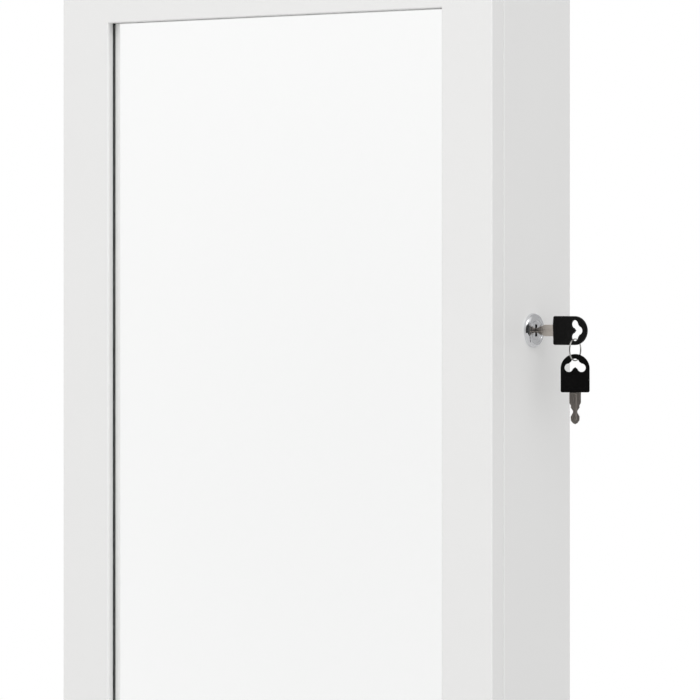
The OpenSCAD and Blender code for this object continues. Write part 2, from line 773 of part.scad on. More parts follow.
module earring_board() {
    y = [velvet_back + board_gap, velvet_back + board_gap + board_t];
    z = [board_top - board_h, board_top];
    color(velvet) difference() {
        union() {
            span([-board_w/2, board_w/2], y, z);
            for (s = [-1, 1])
                span([min(s*board_w/2, s*(board_w/2 - flange_t)),
                      max(s*board_w/2, s*(board_w/2 - flange_t))], [velvet_back, y[0] + eps], z);
        }
        for (row = [1:slot_rows], i = [0:slots_per_row - 1]) {
            x = (i - (slots_per_row - 1)/2)*slot_pitch;
            slot_z = board_top - (2*row - 1)*row_pitch;
            span([x - slot_size[0]/2, x + slot_size[0]/2], [y[0] - 1, y[1] + 1],
                 [slot_z - slot_size[1]/2, slot_z + slot_size[1]/2]);
            rod_along_y(y[0] - 1, y[1] + 1, x, slot_z - row_pitch, stud_hole_r);
        }
    }
}

module door_hook_rail()
    color(paint) span([-door_hook_count*door_hook_pitch/2, door_hook_count*door_hook_pitch/2],
        [velvet_back, velvet_back + door_rail_t], [door_rail_z - rail_h, door_rail_z]);

module door_hooks()
    color(chrome) for (i = [0:door_hook_count - 1])
        translate([(i - (door_hook_count - 1)/2)*door_hook_pitch, velvet_back + door_rail_t,
                door_rail_z - rail_h/2])
            rotate([90, 0, 180]) hook(door_hook_reach, hook_r);

side_panel_left();
side_panel_right();
top_panel();
bottom_panel();
back_panel();
hanging_rail_top();
hanging_rail_bottom();
cup_washers();
back_screws();
back_lining();
divider();
wide_shelf(ring_shelf_z);  // shelf_1
narrow_shelf(narrow_z[0]);  // shelf_2
narrow_shelf(narrow_z[1]);  // shelf_3
narrow_shelf(narrow_z[2]);  // shelf_4
narrow_shelf(narrow_z[3]);  // shelf_5
wide_shelf(low_shelf_z);  // shelf_6
wide_shelf(mid_shelf_z);  // shelf_7
shelf_guards();
ring_base();
ring_rolls();
necklace_rail();
necklace_hooks();
chain_pouch();
bracelet_rods();
rod_sockets();
magnet_catches();
hinge_leaf(hinge_z[0], 1);  // hinge_1_body_leaf
hinge_leaf(hinge_z[1], 1);  // hinge_2_body_leaf
hinge_leaf(hinge_z[2], 1);  // hinge_3_body_leaf
hinge_pins();
leaf_screws(1);  // hinge_body_screws
lock_housing();
lock_nut();
stile_left();
stile_right();
rail_top();
rail_bottom();
mirror_glass();
mirror_backing();
door_lining();
retainer_clips();
hinge_leaf(hinge_z[0], -1);  // hinge_1_door_leaf
hinge_leaf(hinge_z[1], -1);  // hinge_2_door_leaf
hinge_leaf(hinge_z[2], -1);  // hinge_3_door_leaf
leaf_screws(-1);  // hinge_door_screws
strike_bracket();
strike_screws();
magnet_strikes();
earring_board();
door_hook_rail();
door_hooks();
lock_plug();
lock_cam();
cam_screw();
key_blade();
key_bow();
key_ring();
spare_key_blade();
spare_key_bow();
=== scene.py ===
import json
from math import pi, sin, cos, radians, floor

import bmesh
import bpy
from mathutils import Matrix, Vector, noise

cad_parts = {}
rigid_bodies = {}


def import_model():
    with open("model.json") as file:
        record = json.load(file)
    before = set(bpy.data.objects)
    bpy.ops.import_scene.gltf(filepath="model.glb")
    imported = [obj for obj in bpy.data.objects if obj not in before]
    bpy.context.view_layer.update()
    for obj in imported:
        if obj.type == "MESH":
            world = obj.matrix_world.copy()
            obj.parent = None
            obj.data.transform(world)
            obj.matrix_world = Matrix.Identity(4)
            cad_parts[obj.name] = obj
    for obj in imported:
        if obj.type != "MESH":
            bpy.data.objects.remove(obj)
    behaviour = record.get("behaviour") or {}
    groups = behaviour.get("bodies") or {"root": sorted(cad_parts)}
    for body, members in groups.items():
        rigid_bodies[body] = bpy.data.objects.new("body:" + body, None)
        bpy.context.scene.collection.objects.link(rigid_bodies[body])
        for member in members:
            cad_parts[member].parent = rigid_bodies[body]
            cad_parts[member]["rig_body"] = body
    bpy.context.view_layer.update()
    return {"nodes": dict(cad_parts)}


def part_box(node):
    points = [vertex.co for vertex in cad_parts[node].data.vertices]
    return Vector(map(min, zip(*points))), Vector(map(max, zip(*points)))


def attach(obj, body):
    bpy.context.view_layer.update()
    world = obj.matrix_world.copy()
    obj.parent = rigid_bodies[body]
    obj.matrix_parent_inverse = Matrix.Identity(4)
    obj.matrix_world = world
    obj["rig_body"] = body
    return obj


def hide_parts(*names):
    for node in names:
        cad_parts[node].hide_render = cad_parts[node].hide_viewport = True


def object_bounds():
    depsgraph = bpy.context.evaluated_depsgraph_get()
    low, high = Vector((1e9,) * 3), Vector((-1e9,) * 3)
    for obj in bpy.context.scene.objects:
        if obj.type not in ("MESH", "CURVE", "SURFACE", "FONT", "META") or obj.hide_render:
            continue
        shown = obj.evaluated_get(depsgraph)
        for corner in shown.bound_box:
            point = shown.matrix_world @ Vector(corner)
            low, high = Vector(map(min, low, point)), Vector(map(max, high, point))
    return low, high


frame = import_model()
cad = frame["nodes"]
mm = 0.001
weld = 0.002 * mm    # points closer than this are one
near = 0.005 * mm    # and places closer than this are the same
print("frame loaded:", len(cad), "nodes")

# ---- camera ----

cameraSetup = {
    "place": Vector((1.6387, -2.4648, 0.3606)),
    "looking": Vector((-0.5541, 0.8324, 0)),
    "lens": 208.1,
    "drop": -0.0786,
}


def makeCamera():
    eye = bpy.data.cameras.new("camera")
    eye.lens = cameraSetup["lens"]
    eye.shift_y = cameraSetup["drop"]
    eye.clip_end = 50
    camera = bpy.data.objects.new("camera", eye)
    camera.location = cameraSetup["place"]
    camera.rotation_euler = cameraSetup["looking"].to_track_quat("-Z", "Y").to_euler()
    bpy.context.scene.collection.objects.link(camera)
    bpy.context.scene.camera = camera


makeCamera()
bpy.context.scene.view_settings.view_transform = "Standard"
bpy.context.scene.cycles.blur_glossy = 0    # the mirror lights the frame's inner edge

# ---- node graphs ----


class Flow:
    # A value on its way between nodes: sums and products of it add Math nodes
    def __init__(self, graph, socket):
        self.graph = graph
        self.socket = socket

    def maths(self, how, a, b):
        return self.graph.node("ShaderNodeMath", {"operation": how}, {0: a, 1: b})

    def __add__(self, other):
        return self.maths("ADD", self, other)

    __radd__ = __add__

    def __sub__(self, other):
        return self.maths("SUBTRACT", self, other)

    def __rsub__(self, other):
        return self.maths("SUBTRACT", other, self)

    def __mul__(self, other):
        return self.maths("MULTIPLY", self, other)

    __rmul__ = __mul__

    def __truediv__(self, other):
        return self.maths("DIVIDE", self, other)

    def __pow__(self, other):
        return self.maths("POWER", self, other)


class Graph:
    # A node tree that is filled from the script
    def __init__(self, tree):
        self.tree = tree

    def node(self, kind, settings, values, out=0):
        made = self.tree.nodes.new(kind)
        for name, value in settings.items():
            setattr(made, name, value)
        for name, value in values.items():
            self.feed(made.inputs[name], value)
        return Flow(self, made.outputs[out])

    def feed(self, socket, value):
        if isinstance(value, Flow):
            self.tree.links.new(value.socket, socket)
        else:
            socket.default_value = value

    def smooth(self, value, low, high):
        # 0 below low, 1 above high, eased between
        return self.node("ShaderNodeMapRange", {"interpolation_type": "SMOOTHSTEP"},
                         {0: value, 1: low, 2: high})

    def mix(self, factor, a, b):
        # two colours, blended
        return self.node("ShaderNodeMix", {"data_type": "RGBA"}, {0: factor, 6: a, 7: b}, out=2)

    def dot(self, a, b):
        return self.node("ShaderNodeVectorMath", {"operation": "DOT_PRODUCT"}, {0: a, 1: b}, out=1)


def grey(value):
    return (value, value, value, 1)


def darker(tone, share):
    return tuple(share * c for c in tone[:3]) + (1,)


# ---- light ----

studio = {
    "ambient": 0.405,                           # the level that the key adds to
    "least": 0.50,                              # the darkest that the studio gets
    "key": 0.96,                                # how much more comes from the key's side
    "keyFrom": Vector((0.575, -0.775, 0.26)),
    "mirrored": Vector((-0.554, -0.832, 0)),    # what the closed mirror faces
    "mirroredLight": 1.005,
    "mirroredRight": Vector((0.832, -0.554, 0)),
    "dimSpot": (0.03, -0.075),                  # the dimmer part of the mirrored wall
    "dimBy": 0.06,
    "dimReach": (0.02, 0.19),                   # where the dimmer part starts and stops fading
    "mirroredEdge": (0.955, 0.985),             # where the mirrored wall blends into the rest
    "darkness": 0.97,                           # of the cloths
    "clothFade": (0.12, 0.5),                   # below and above each cloth
    "floorTone": 0.82,
    "floorSize": 3,
}

# dark cloths that only reflections show: where each hangs, where its edge starts and ends,
# and its low and high ends
cloths = (
    (Vector((0.77, -0.64, 0)), 0.60, 0.70, -0.62, 0.42),
    (Vector((0.30, 0.80, -0.55)), 0.93, 0.98, -3, 3),
)


def makeWorld():
    world = bpy.data.worlds.new("studio")
    bpy.context.scene.world = world
    world.use_nodes = True
    graph = Graph(world.node_tree)
    world.node_tree.nodes.clear()
    ray = graph.node("ShaderNodeTexCoord", {}, {})
    height = graph.dot(ray, Vector((0, 0, 1)))
    even = studio["ambient"] + studio["key"] * graph.dot(ray, studio["keyFrom"].normalized())
    even = even.maths("MAXIMUM", even, studio["least"])
    # the cloths show only in reflections, and take no light from matt surfaces
    glossy = graph.node("ShaderNodeLightPath", {}, {}, out="Is Glossy Ray")
    spread = graph.node("ShaderNodeLightPath", {}, {}, out="Diffuse Depth")
    path = glossy * (1 - spread.maths("MINIMUM", spread, 1))
    below, above = studio["clothFade"]
    for hung, start, end, low, top in cloths:
        covered = graph.smooth(graph.dot(ray, hung.normalized()), start, end)
        covered = covered * graph.smooth(height, low, low + below)
        covered = covered * (1 - graph.smooth(height, top, top + above))
        even = even * (1 - studio["darkness"] * path * covered)
    # the pale wall that the mirror shows
    facing = graph.dot(ray, studio["mirrored"].normalized())
    across = graph.dot(ray, studio["mirroredRight"]) - studio["dimSpot"][0]
    up = height - studio["dimSpot"][1]
    distance = (across * across + up * up) ** 0.5
    dimmed = 1 - graph.smooth(distance, *studio["dimReach"])
    wall = studio["mirroredLight"] - studio["dimBy"] * dimmed
    mask = graph.smooth(facing, *studio["mirroredEdge"])
    light = even * (1 - mask) + wall * mask
    seen = graph.node("ShaderNodeLightPath", {}, {}, out="Is Camera Ray")
    glow = graph.node("ShaderNodeCombineColor", {}, {0: light, 1: light, 2: light})
    shown = graph.mix(seen, glow, grey(1))
    back = graph.node("ShaderNodeBackground", {}, {"Color": shown})
    out = world.node_tree.nodes.new("ShaderNodeOutputWorld")
    world.node_tree.links.new(back.socket, out.inputs["Surface"])


def addSoftbox(name, box):
    lamp = bpy.data.lights.new(name, "AREA")
    lamp.shape = "RECTANGLE"
    lamp.size = box["width"]
    lamp.size_y = box["height"]
    lamp.energy = box["power"]
    holder = bpy.data.objects.new(name, lamp)
    holder.location = box["place"]
    away = Vector(box["aim"]) - Vector(box["place"])
    holder.rotation_euler = away.to_track_quat("-Z", "Y").to_euler()
    bpy.context.scene.collection.objects.link(holder)


softbox = {"place": (0.9, -1.6, 2.6), "aim": (0, 0, 0.2), "width": 1.6, "height": 1.6, "power": 9}

makeWorld()
addSoftbox("overheadSoftbox", softbox)

# ---- finishes ----


class Finish(Graph):
    # A Principled material and the patterns that feed it
    def __init__(self, name, fixed):
        self.material = bpy.data.materials.new(name)
        self.material.use_nodes = True
        super().__init__(self.material.node_tree)
        self.shader = self.tree.nodes["Principled BSDF"]
        self.give(fixed)

    def give(self, values):
        for name, value in values.items():
            self.feed(self.shader.inputs[name], value)

    def spot(self, scale=(1, 1, 1), turn=(0, 0, 0)):
        where = self.node("ShaderNodeTexCoord", {}, {}, out=3)
        return self.node("ShaderNodeMapping", {}, {"Vector": where, "Scale": scale,
                                                   "Rotation": turn})

    def cloud(self, where, scale, detail=3.0, rough=0.5, twist=0.0):
        return self.node("ShaderNodeTexNoise", {}, {"Vector": where, "Scale": scale,
                         "Detail": detail, "Roughness": rough, "Distortion": twist})

    def cells(self, where, scale):
        return self.node("ShaderNodeTexVoronoi", {}, {"Vector": where, "Scale": scale})

    def relief(self, height, depth, strength=1.0, under=None):
        # depth is the relief's real height in metres
        values = {"Height": height, "Distance": depth, "Strength": strength}
        if under:
            values["Normal"] = under
        return self.node("ShaderNodeBump", {}, values)


def satinLacquer():
    # Sprayed on: a faint orange peel, and rub marks along the length
    paint = Finish("satinLacquer", {"IOR": 1.46, "Coat Roughness": 0.25, "Coat IOR": 1.45})
    where = paint.spot()
    drift = paint.cloud(where, 6, 2)
    peel = paint.cloud(where, 900, 2, 0.45)
    brushed = paint.cloud(paint.spot((60, 60, 3)), 12, 3, 0.6)
    paint.give({
        "Base Color": paint.mix(drift, (0.862, 0.860, 0.852, 1), (0.838, 0.836, 0.829, 1)),
        "Roughness": 0.36 + 0.10 * drift + 0.04 * brushed,
        "Coat Weight": 0.12 + 0.08 * peel,
        "Normal": paint.relief(peel + 0.3 * brushed, 0.00003, 0.5),
    })
    return paint.material


def backLaminate():
    # White paper laminate with a fine grain, scuffed a little
    board = Finish("backLaminate", {"IOR": 1.45})
    where = board.spot()
    grain = board.cells(where, 1400)
    drift = board.cloud(where, 5, 3)
    scuffs = board.cloud(board.spot((1, 1, 14), (0, 0.5, 0)), 25, 4, 0.7)
    worn = board.smooth(scuffs, 0.62, 0.72)
    board.give({
        "Base Color": board.mix(drift, (0.80, 0.80, 0.79, 1), (0.75, 0.75, 0.742, 1)),
        "Roughness": 0.48 + 0.14 * worn + 0.05 * drift,
        "Normal": board.relief(grain, 0.00004, 0.4),
    })
    return board.material


def bareHardboard():
    # Pressed brown fibres
    board = Finish("bareHardboard", {"IOR": 1.4})
    where = board.spot()
    fibres = board.cloud(board.spot((420, 420, 160), (0.3, 0.2, 0.1)), 4, 6, 0.75, 0.8)
    flecks = board.cells(where, 700)
    drift = board.cloud(where, 12, 3)
    tone = board.mix(fibres, (0.20, 0.115, 0.062, 1), (0.36, 0.235, 0.14, 1))
    board.give({
        "Base Color": board.mix(board.smooth(drift, 0.3, 0.7), tone, (0.27, 0.17, 0.10, 1)),
        "Roughness": 0.68 + 0.2 * fibres,
        "Normal": board.relief(fibres + 0.4 * flecks, 0.00012, 0.6),
    })
    return board.material


def velvetPile(name, light, deep):
    # Short pile: a fine tuft, a nap that lies in soft patches, and sheen at grazing angles
    cloth = Finish(name, {"IOR": 1.35, "Sheen Weight": 0.65, "Sheen Roughness": 0.38,
                          "Sheen Tint": (1.0, 0.985, 0.96, 1), "Specular IOR Level": 0.25})
    where = cloth.spot()
    tufts = cloth.cells(where, 2300)
    lie = cloth.cloud(where, 38, 4, 0.62, 0.7)
    patches = cloth.smooth(cloth.cloud(where, 19, 3, 0.55, 0.6), 0.30, 0.74)
    nap = 0.4 * patches + 0.6 * lie
    tone = cloth.mix(nap, deep, light)
    cloth.give({
        "Base Color": cloth.mix(0.22 * tufts, tone, darker(deep, 0.62)),
        "Roughness": 0.86 + 0.1 * tufts,
        "Normal": cloth.relief(tufts, 0.00022, 0.55, cloth.relief(lie, 0.0006, 0.25)),
    })
    return cloth.material


def platedSteel(name, tone, grain=(30, 30, 900), base=0.3):
    # Rolled and plated: fine drawn lines, clouded plating and a few dull specks
    metal = Finish(name, {"Metallic": 1.0})
    where = metal.spot()
    lines = metal.cloud(metal.spot(grain), 6, 4, 0.65)
    clouds = metal.cloud(where, 160, 4, 0.6, 0.4)
    specks = metal.smooth(metal.cells(where, 520), 0.05, 0.16)
    metal.give({
        "Base Color": metal.mix(0.55 * clouds + 0.45 * (1 - specks), tone, darker(tone, 0.8)),
        "Roughness": base + 0.14 * clouds + 0.1 * lines,
        "Normal": metal.relief(lines + 0.3 * specks, 0.00002, 0.5),
    })
    return metal.material


def polishedChrome():
    # Bright plating with a little haze and hairline scratches
    plate = Finish("polishedChrome", {"Metallic": 1.0})
    where = plate.spot()
    haze = plate.cloud(where, 210, 3, 0.6)
    hairlines = plate.cloud(plate.spot((900, 40, 40), (0.4, 0.9, 0.2)), 8, 3, 0.7)
    scratches = plate.smooth(hairlines, 0.66, 0.72)
    plate.give({
        "Base Color": plate.mix(haze, (0.80, 0.805, 0.82, 1), (0.72, 0.725, 0.74, 1)),
        "Roughness": 0.06 + 0.05 * haze + 0.12 * scratches,
        "Normal": plate.relief(haze, 0.00001, 0.15),
    })
    return plate.material


def mouldedBlack():
    # Spark-eroded texture with edges rubbed a little smoother
    plastic = Finish("mouldedBlack", {"IOR": 1.5, "Specular IOR Level": 0.1})
    where = plastic.spot()
    grain = plastic.cloud(where, 3200, 2, 0.6)
    rub = plastic.smooth(plastic.cloud(where, 120, 3, 0.6), 0.52, 0.72)
    plastic.give({
        "Base Color": plastic.mix(rub, (0.0028, 0.0026, 0.0025, 1), (0.0052, 0.0050, 0.0048, 1)),
        "Roughness": 0.36 - 0.10 * rub + 0.08 * grain,
        "Normal": plastic.relief(grain, 0.00003, 0.6),
    })
    return plastic.material


def beddingTape():
    # Foam: fine pores on a dull dark grey. Painted shade: it is this dark so that the line where
    # the glass meets the frame's lip reads as a shade line
    foam = Finish("beddingTape", {"IOR": 1.4, "Specular IOR Level": 0.3})
    where = foam.spot()
    pores = foam.cells(where, 2600)
    drift = foam.cloud(where, 90, 3)
    foam.give({
        "Base Color": foam.mix(0.5 * pores + 0.3 * drift, (0.10, 0.10, 0.10, 1),
                               (0.05, 0.05, 0.05, 1)),
        "Roughness": 0.8 + 0.15 * pores,
        "Normal": foam.relief(pores, 0.00005, 0.5),
    })
    return foam.material


def clearAcrylic():
    # Nearly clear, with wipe marks
    clear = Finish("clearAcrylic", {"IOR": 1.49, "Transmission Weight": 1.0})
    where = clear.spot()
    wipes = clear.cloud(clear.spot((3, 40, 40)), 9, 4, 0.7)
    clear.give({
        "Base Color": clear.mix(clear.cloud(where, 20, 2), (0.965, 0.985, 0.99, 1),
                                (0.94, 0.97, 0.978, 1)),
        "Roughness": 0.015 + 0.03 * clear.smooth(wipes, 0.55, 0.75),
    })
    return clear.material


def floatGlass():
    clear = Finish("floatGlass", {"IOR": 1.52, "Transmission Weight": 1.0})
    where = clear.spot()
    clear.give({
        "Base Color": clear.mix(clear.cloud(where, 4, 2), (0.985, 0.990, 0.987, 1),
                                (0.982, 0.987, 0.984, 1)),
        "Roughness": 0.0,
    })
    return clear.material


def silverCoat():
    coat = Finish("silverCoat", {"Metallic": 1.0})
    where = coat.spot()
    coat.give({
        "Base Color": coat.mix(coat.cloud(where, 5, 3), (0.975, 0.974, 0.973, 1),
                               (0.968, 0.967, 0.966, 1)),
        "Roughness": 0.012 + 0.01 * coat.cloud(where, 30, 2),
    })
    return coat.material


finishes = {
    "lacquer": satinLacquer(),
    "laminate": backLaminate(),
    "hardboard": bareHardboard(),
    "velvet": velvetPile("velvetPile", (0.79, 0.755, 0.70, 1), (0.69, 0.655, 0.60, 1)),
    "roll": velvetPile("rollVelvet", (0.83, 0.80, 0.75, 1), (0.70, 0.665, 0.61, 1)),
    "zinc": platedSteel("zincPlate", (0.60, 0.61, 0.63, 1)),
    "nickel": platedSteel("nickelBlade", (0.56, 0.515, 0.47, 1), (900, 900, 30), 0.2),
    "wire": platedSteel("ringWire", (0.62, 0.61, 0.59, 1), (80, 80, 80), 0.2),
    "chrome": polishedChrome(),
    "black": mouldedBlack(),
    "acrylic": clearAcrylic(),
    # painted shade: the dark tape that stands for the shade line round the mirror's glass
    "tape": beddingTape(),
    "glass": floatGlass(),
    "silver": silverCoat(),
}
print("finishes made:", len(finishes))

# ---- shaping helpers ----


def newPiece(name, mesh):
    piece = bpy.data.objects.new(name, mesh)
    bpy.context.scene.collection.objects.link(piece)
    return piece


def fromBmesh(name, form):
    mesh = bpy.data.meshes.new(name)
    form.to_mesh(mesh)
    form.free()
    return newPiece(name, mesh)


def bakeModifiers(piece):
    # Turns the evaluated result into the piece's own plain mesh
    graph = bpy.context.evaluated_depsgraph_get()
    mesh = bpy.data.meshes.new_from_object(piece.evaluated_get(graph))
    old = piece.data
    piece.modifiers.clear()
    piece.data = mesh
    mesh.name = piece.name
    if old.users == 0:
        bpy.data.meshes.remove(old)


def evenShade(piece, angle=40):
    # Smooth shading that stays flat on the large faces
    piece.data.shade_smooth()
    piece.data.set_sharp_from_angle(angle=radians(angle))
    weighted = piece.modifiers.new("evenNormals", "WEIGHTED_NORMAL")
    weighted.keep_sharp = True
    bakeModifiers(piece)


def settle(piece, finish, stands=(), body=None):
    # Finish, body and the CAD nodes that the piece stands for
    piece.data.materials.clear()
    piece.data.materials.append(finishes[finish])
    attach(piece, body or cad[stands[0]]["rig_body"])
    if stands:
        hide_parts(*stands)
    return piece


def cadForm(node):
    # A merged copy of a CAD node, its flat faces whole again
    form = bmesh.new()
    form.from_mesh(cad[node].data)
    bmesh.ops.remove_doubles(form, verts=form.verts, dist=weld)
    bmesh.ops.dissolve_limit(form, angle_limit=radians(0.4), verts=form.verts, edges=form.edges,
                             use_dissolve_boundaries=False)
    return form


def roundEdges(form, edges, radius, segments=3):
    if edges and radius > 0:
        bmesh.ops.bevel(form, geom=edges, offset=radius, offset_type="OFFSET",
                        segments=segments, profile=0.5, affect="EDGES",
                        clamp_overlap=False, loop_slide=False)


def isSharp(edge, angle=30):
    return len(edge.link_faces) == 2 and edge.calc_face_angle(0) > radians(angle)


def easedCopy(name, node, radius, spared=None, segments=3, shortest=3.0):
    # The CAD node with its long edges rounded. Edges that spared() picks stay sharp
    form = cadForm(node)
    edges = [e for e in form.edges if isSharp(e) and e.calc_length() > shortest * radius
             and not (spared and spared(e))]
    roundEdges(form, edges, radius, segments)
    piece = fromBmesh(name, form)
    evenShade(piece)
    return piece


leafBoxes = [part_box("hinge_%d_%s_leaf" % (n, side)) for n in range(1, 4)
             for side in ("body", "door")]


def inMortise(edge):
    # The mortises under the hinges stay crisp, so the arris beside them keeps its width
    grow = 0.5 * mm
    return any(all(low[i] - grow <= v.co[i] <= high[i] + grow for v in edge.verts
                   for i in range(3)) for low, high in leafBoxes)


def plateCopy(name, node, radius, fine, stepped=1.0 * mm, segments=3):
    # A flat part: the rims of its outline get radius, shallow steps in its faces get fine
    form = cadForm(node)
    flat = max(form.faces, key=lambda f: f.calc_area()).normal.copy()

    def depth(face):
        heights = [flat.dot(v.co) for v in face.verts]
        return max(heights) - min(heights)

    def along(edge):
        return abs((edge.verts[1].co - edge.verts[0].co).normalized().dot(flat))

    def outline(angle):
        # the edges round the part's faces, and those of shallow steps in them
        found = [e for e in form.edges if isSharp(e, angle) and along(e) < 0.1]
        rims = [e for e in found if max(depth(f) for f in e.link_faces) > stepped]
        return rims, [e for e in found if e not in set(rims)]

    rims, steps = outline(30)
    if fine > 0:
        roundEdges(form, steps, fine, 2)
        rims, steps = outline(60)
    roundEdges(form, rims, radius, segments)
    piece = fromBmesh(name, form)
    evenShade(piece)
    return piece


def turned(name, profile, steps=64, ripple=None, closed=False):
    # A body of revolution about Z. The profile's points are (height, radius)
    form = bmesh.new()
    rings = []
    for height, radius in profile:
        if radius < 1e-9:
            rings.append([form.verts.new((0, 0, height))])
            continue
        ring = []
        for i in range(steps):
            angle = 2 * pi * i / steps
            r = radius + (ripple(height, angle) if ripple else 0)
            ring.append(form.verts.new((r * cos(angle), r * sin(angle), height)))
        rings.append(ring)
    pairs = list(zip(rings, rings[1:]))
    if closed:
        pairs.append((rings[-1], rings[0]))
    for lower, upper in pairs:
        for i in range(steps):
            j = (i + 1) % steps
            corners = []
            for corner in (lower[i % len(lower)], lower[j % len(lower)],
                           upper[j % len(upper)], upper[i % len(upper)]):
                if corner not in corners:
                    corners.append(corner)
            if len(corners) > 2:
                form.faces.new(corners)
    bmesh.ops.recalc_face_normals(form, faces=form.faces)
    return fromBmesh(name, form)


def skin(form, rings):
    # Faces between rings of points with the same count
    for lower, upper in zip(rings, rings[1:]):
        for k in range(len(lower)):
            j = (k + 1) % len(lower)
            form.faces.new((lower[k], lower[j], upper[j], upper[k]))


def arc(centre, radii, first, last, count):
    # Points (height, radius) along an ellipse's quarter, for a turned profile
    points = []
    for i in range(count + 1):
        angle = radians(first + (last - first) * i / count)
        points.append((centre[0] + radii[0] * sin(angle), centre[1] + radii[1] * cos(angle)))
    return points


def roundedBox(name, low, high, radius, segments=3):
    form = bmesh.new()
    bmesh.ops.create_cube(form, size=1)
    size = Vector(high) - Vector(low)
    for v in form.verts:
        v.co = Vector(low) + Vector((size[k] * (v.co[k] + 0.5) for k in range(3)))
    roundEdges(form, form.edges[:], radius, segments)
    return fromBmesh(name, form)


def joined(name, parts):
    # Several pieces' meshes as one piece
    form = bmesh.new()
    for part in parts:
        form.from_mesh(part.data)
        old = part.data
        bpy.data.objects.remove(part)
        if old.users == 0:
            bpy.data.meshes.remove(old)
    return fromBmesh(name, form)


def cutAway(piece, cutter):
    # Boolean difference, applied at once. The cutter is used up
    tool = piece.modifiers.new("cut", "BOOLEAN")
    tool.operation = "DIFFERENCE"
    tool.solver = "EXACT"
    tool.use_self = True
    tool.object = cutter
    bakeModifiers(piece)
    old = cutter.data
    bpy.data.objects.remove(cutter)
    bpy.data.meshes.remove(old)
    return piece


def solids(node):
    # The boxes of a node's separate solids, as (low, high), in a fixed order
    form = bmesh.new()
    form.from_mesh(cad[node].data)
    bmesh.ops.remove_doubles(form, verts=form.verts, dist=weld)
    left = set(form.verts)
    boxes = []
    while left:
        shell = [left.pop()]
        low = shell[0].co.copy()
        high = shell[0].co.copy()
        while shell:
            corner = shell.pop()
            low = Vector(map(min, low, corner.co))
            high = Vector(map(max, high, corner.co))
            for edge in corner.link_edges:
                other = edge.other_vert(corner)
                if other in left:
                    left.remove(other)
                    shell.append(other)
        boxes.append((low, high))
    form.free()
    return sorted(boxes, key=lambda b: [round(c, 5) for c in b[0]])


def middle(box):
    return (box[0] + box[1]) / 2


# ---- repeating pieces ----


class Plan(Graph):
    # A Geometry Nodes tree on one piece, with named inputs, turned into a plain mesh at the end
    def __init__(self, name):
        super().__init__(bpy.data.node_groups.new(name, "GeometryNodeTree"))
        self.tree.interface.new_socket("Geometry", in_out="INPUT",
                                       socket_type="NodeSocketGeometry")
        self.tree.interface.new_socket("Geometry", in_out="OUTPUT",
                                       socket_type="NodeSocketGeometry")
        self.entry = self.tree.nodes.new("NodeGroupInput")
        self.given = {}

    def ask(self, name, kind, value):
        socket = self.tree.interface.new_socket(name, in_out="INPUT",
                                                socket_type="NodeSocket" + kind)
        self.given[name] = (socket.identifier, value)
        return Flow(self, self.entry.outputs[name])

    def start(self):
        return Flow(self, self.entry.outputs["Geometry"])

    def close(self, result, finish):
        result = self.node("GeometryNodeRealizeInstances", {}, {0: result})
        result = self.node("GeometryNodeSetMaterial", {},
                           {"Geometry": result, "Material": finishes[finish]})
        out = self.tree.nodes.new("NodeGroupOutput")
        self.tree.links.new(result.socket, out.inputs[0])

    def run(self, piece):
        modifier = piece.modifiers.new(self.tree.name, "NODES")
        modifier.node_group = self.tree
        for identifier, value in self.given.values():
            modifier[identifier] = value
        piece.data.update()
        bakeModifiers(piece)
        bpy.data.node_groups.remove(self.tree)
        return piece


def pointCloud(name, places):
    mesh = bpy.data.meshes.new(name)
    mesh.from_pydata([tuple(p) for p in places], [], [])
    return newPiece(name, mesh)


def driven(name, master, places, direction, finish, seed):
    # One master piece at each place, pointing its +Z along direction, each turned its own way
    piece = pointCloud(name, places)
    plan = Plan(name + "Plan")
    source = plan.ask("Master", "Object", master)
    aim = plan.ask("Direction", "Vector", tuple(direction))
    turnSeed = plan.ask("Turn Seed", "Int", seed)
    size = plan.ask("Size", "Float", 1.0)
    turn = plan.node("FunctionNodeAlignRotationToVector", {"axis": "Z"}, {"Vector": aim})
    roll = plan.node("FunctionNodeRandomValue", {"data_type": "FLOAT"},
                     {2: 0.0, 3: 2 * pi, "Seed": turnSeed}, out=1)
    spin = plan.node("FunctionNodeAxisAngleToRotation", {}, {"Axis": (0, 0, 1), "Angle": roll})
    turn = plan.node("FunctionNodeRotateRotation", {"rotation_space": "LOCAL"},
                     {0: turn, 1: spin})
    shape = plan.node("GeometryNodeObjectInfo", {"transform_space": "ORIGINAL"},
                      {"Object": source}, out=4)
    copies = plan.node("GeometryNodeInstanceOnPoints", {},
                       {"Points": plan.start(), "Instance": shape, "Rotation": turn,
                        "Scale": size})
    plan.close(copies, finish)
    plan.run(piece)
    old = master.data
    bpy.data.objects.remove(master)
    bpy.data.meshes.remove(old)
    return piece


def thread(pitch, depth, first, last):
    # A ripple that winds a screw thread between two heights
    def lift(height, angle):
        if not first <= height <= last:
            return 0
        turn = height / pitch - angle / (2 * pi)
        return -depth * abs(2 * (turn - floor(turn)) - 1)
    return lift


def crossCutter(width, length, depth):
    # Two crossed wedges for a driver recess, pointing down from z = 0
    form = bmesh.new()
    for turn in (0, pi / 2):
        made = bmesh.ops.create_cube(form, size=1)
        for v in made["verts"]:
            top = v.co.z > 0
            x = v.co.x * length * (1.0 if top else 0.45)
            y = v.co.y * width * (1.0 if top else 0.7)
            z = 0.3 * mm if top else -depth
            v.co = Vector((x * cos(turn) - y * sin(turn), x * sin(turn) + y * cos(turn), z))
    return fromBmesh("crossCutter", form)


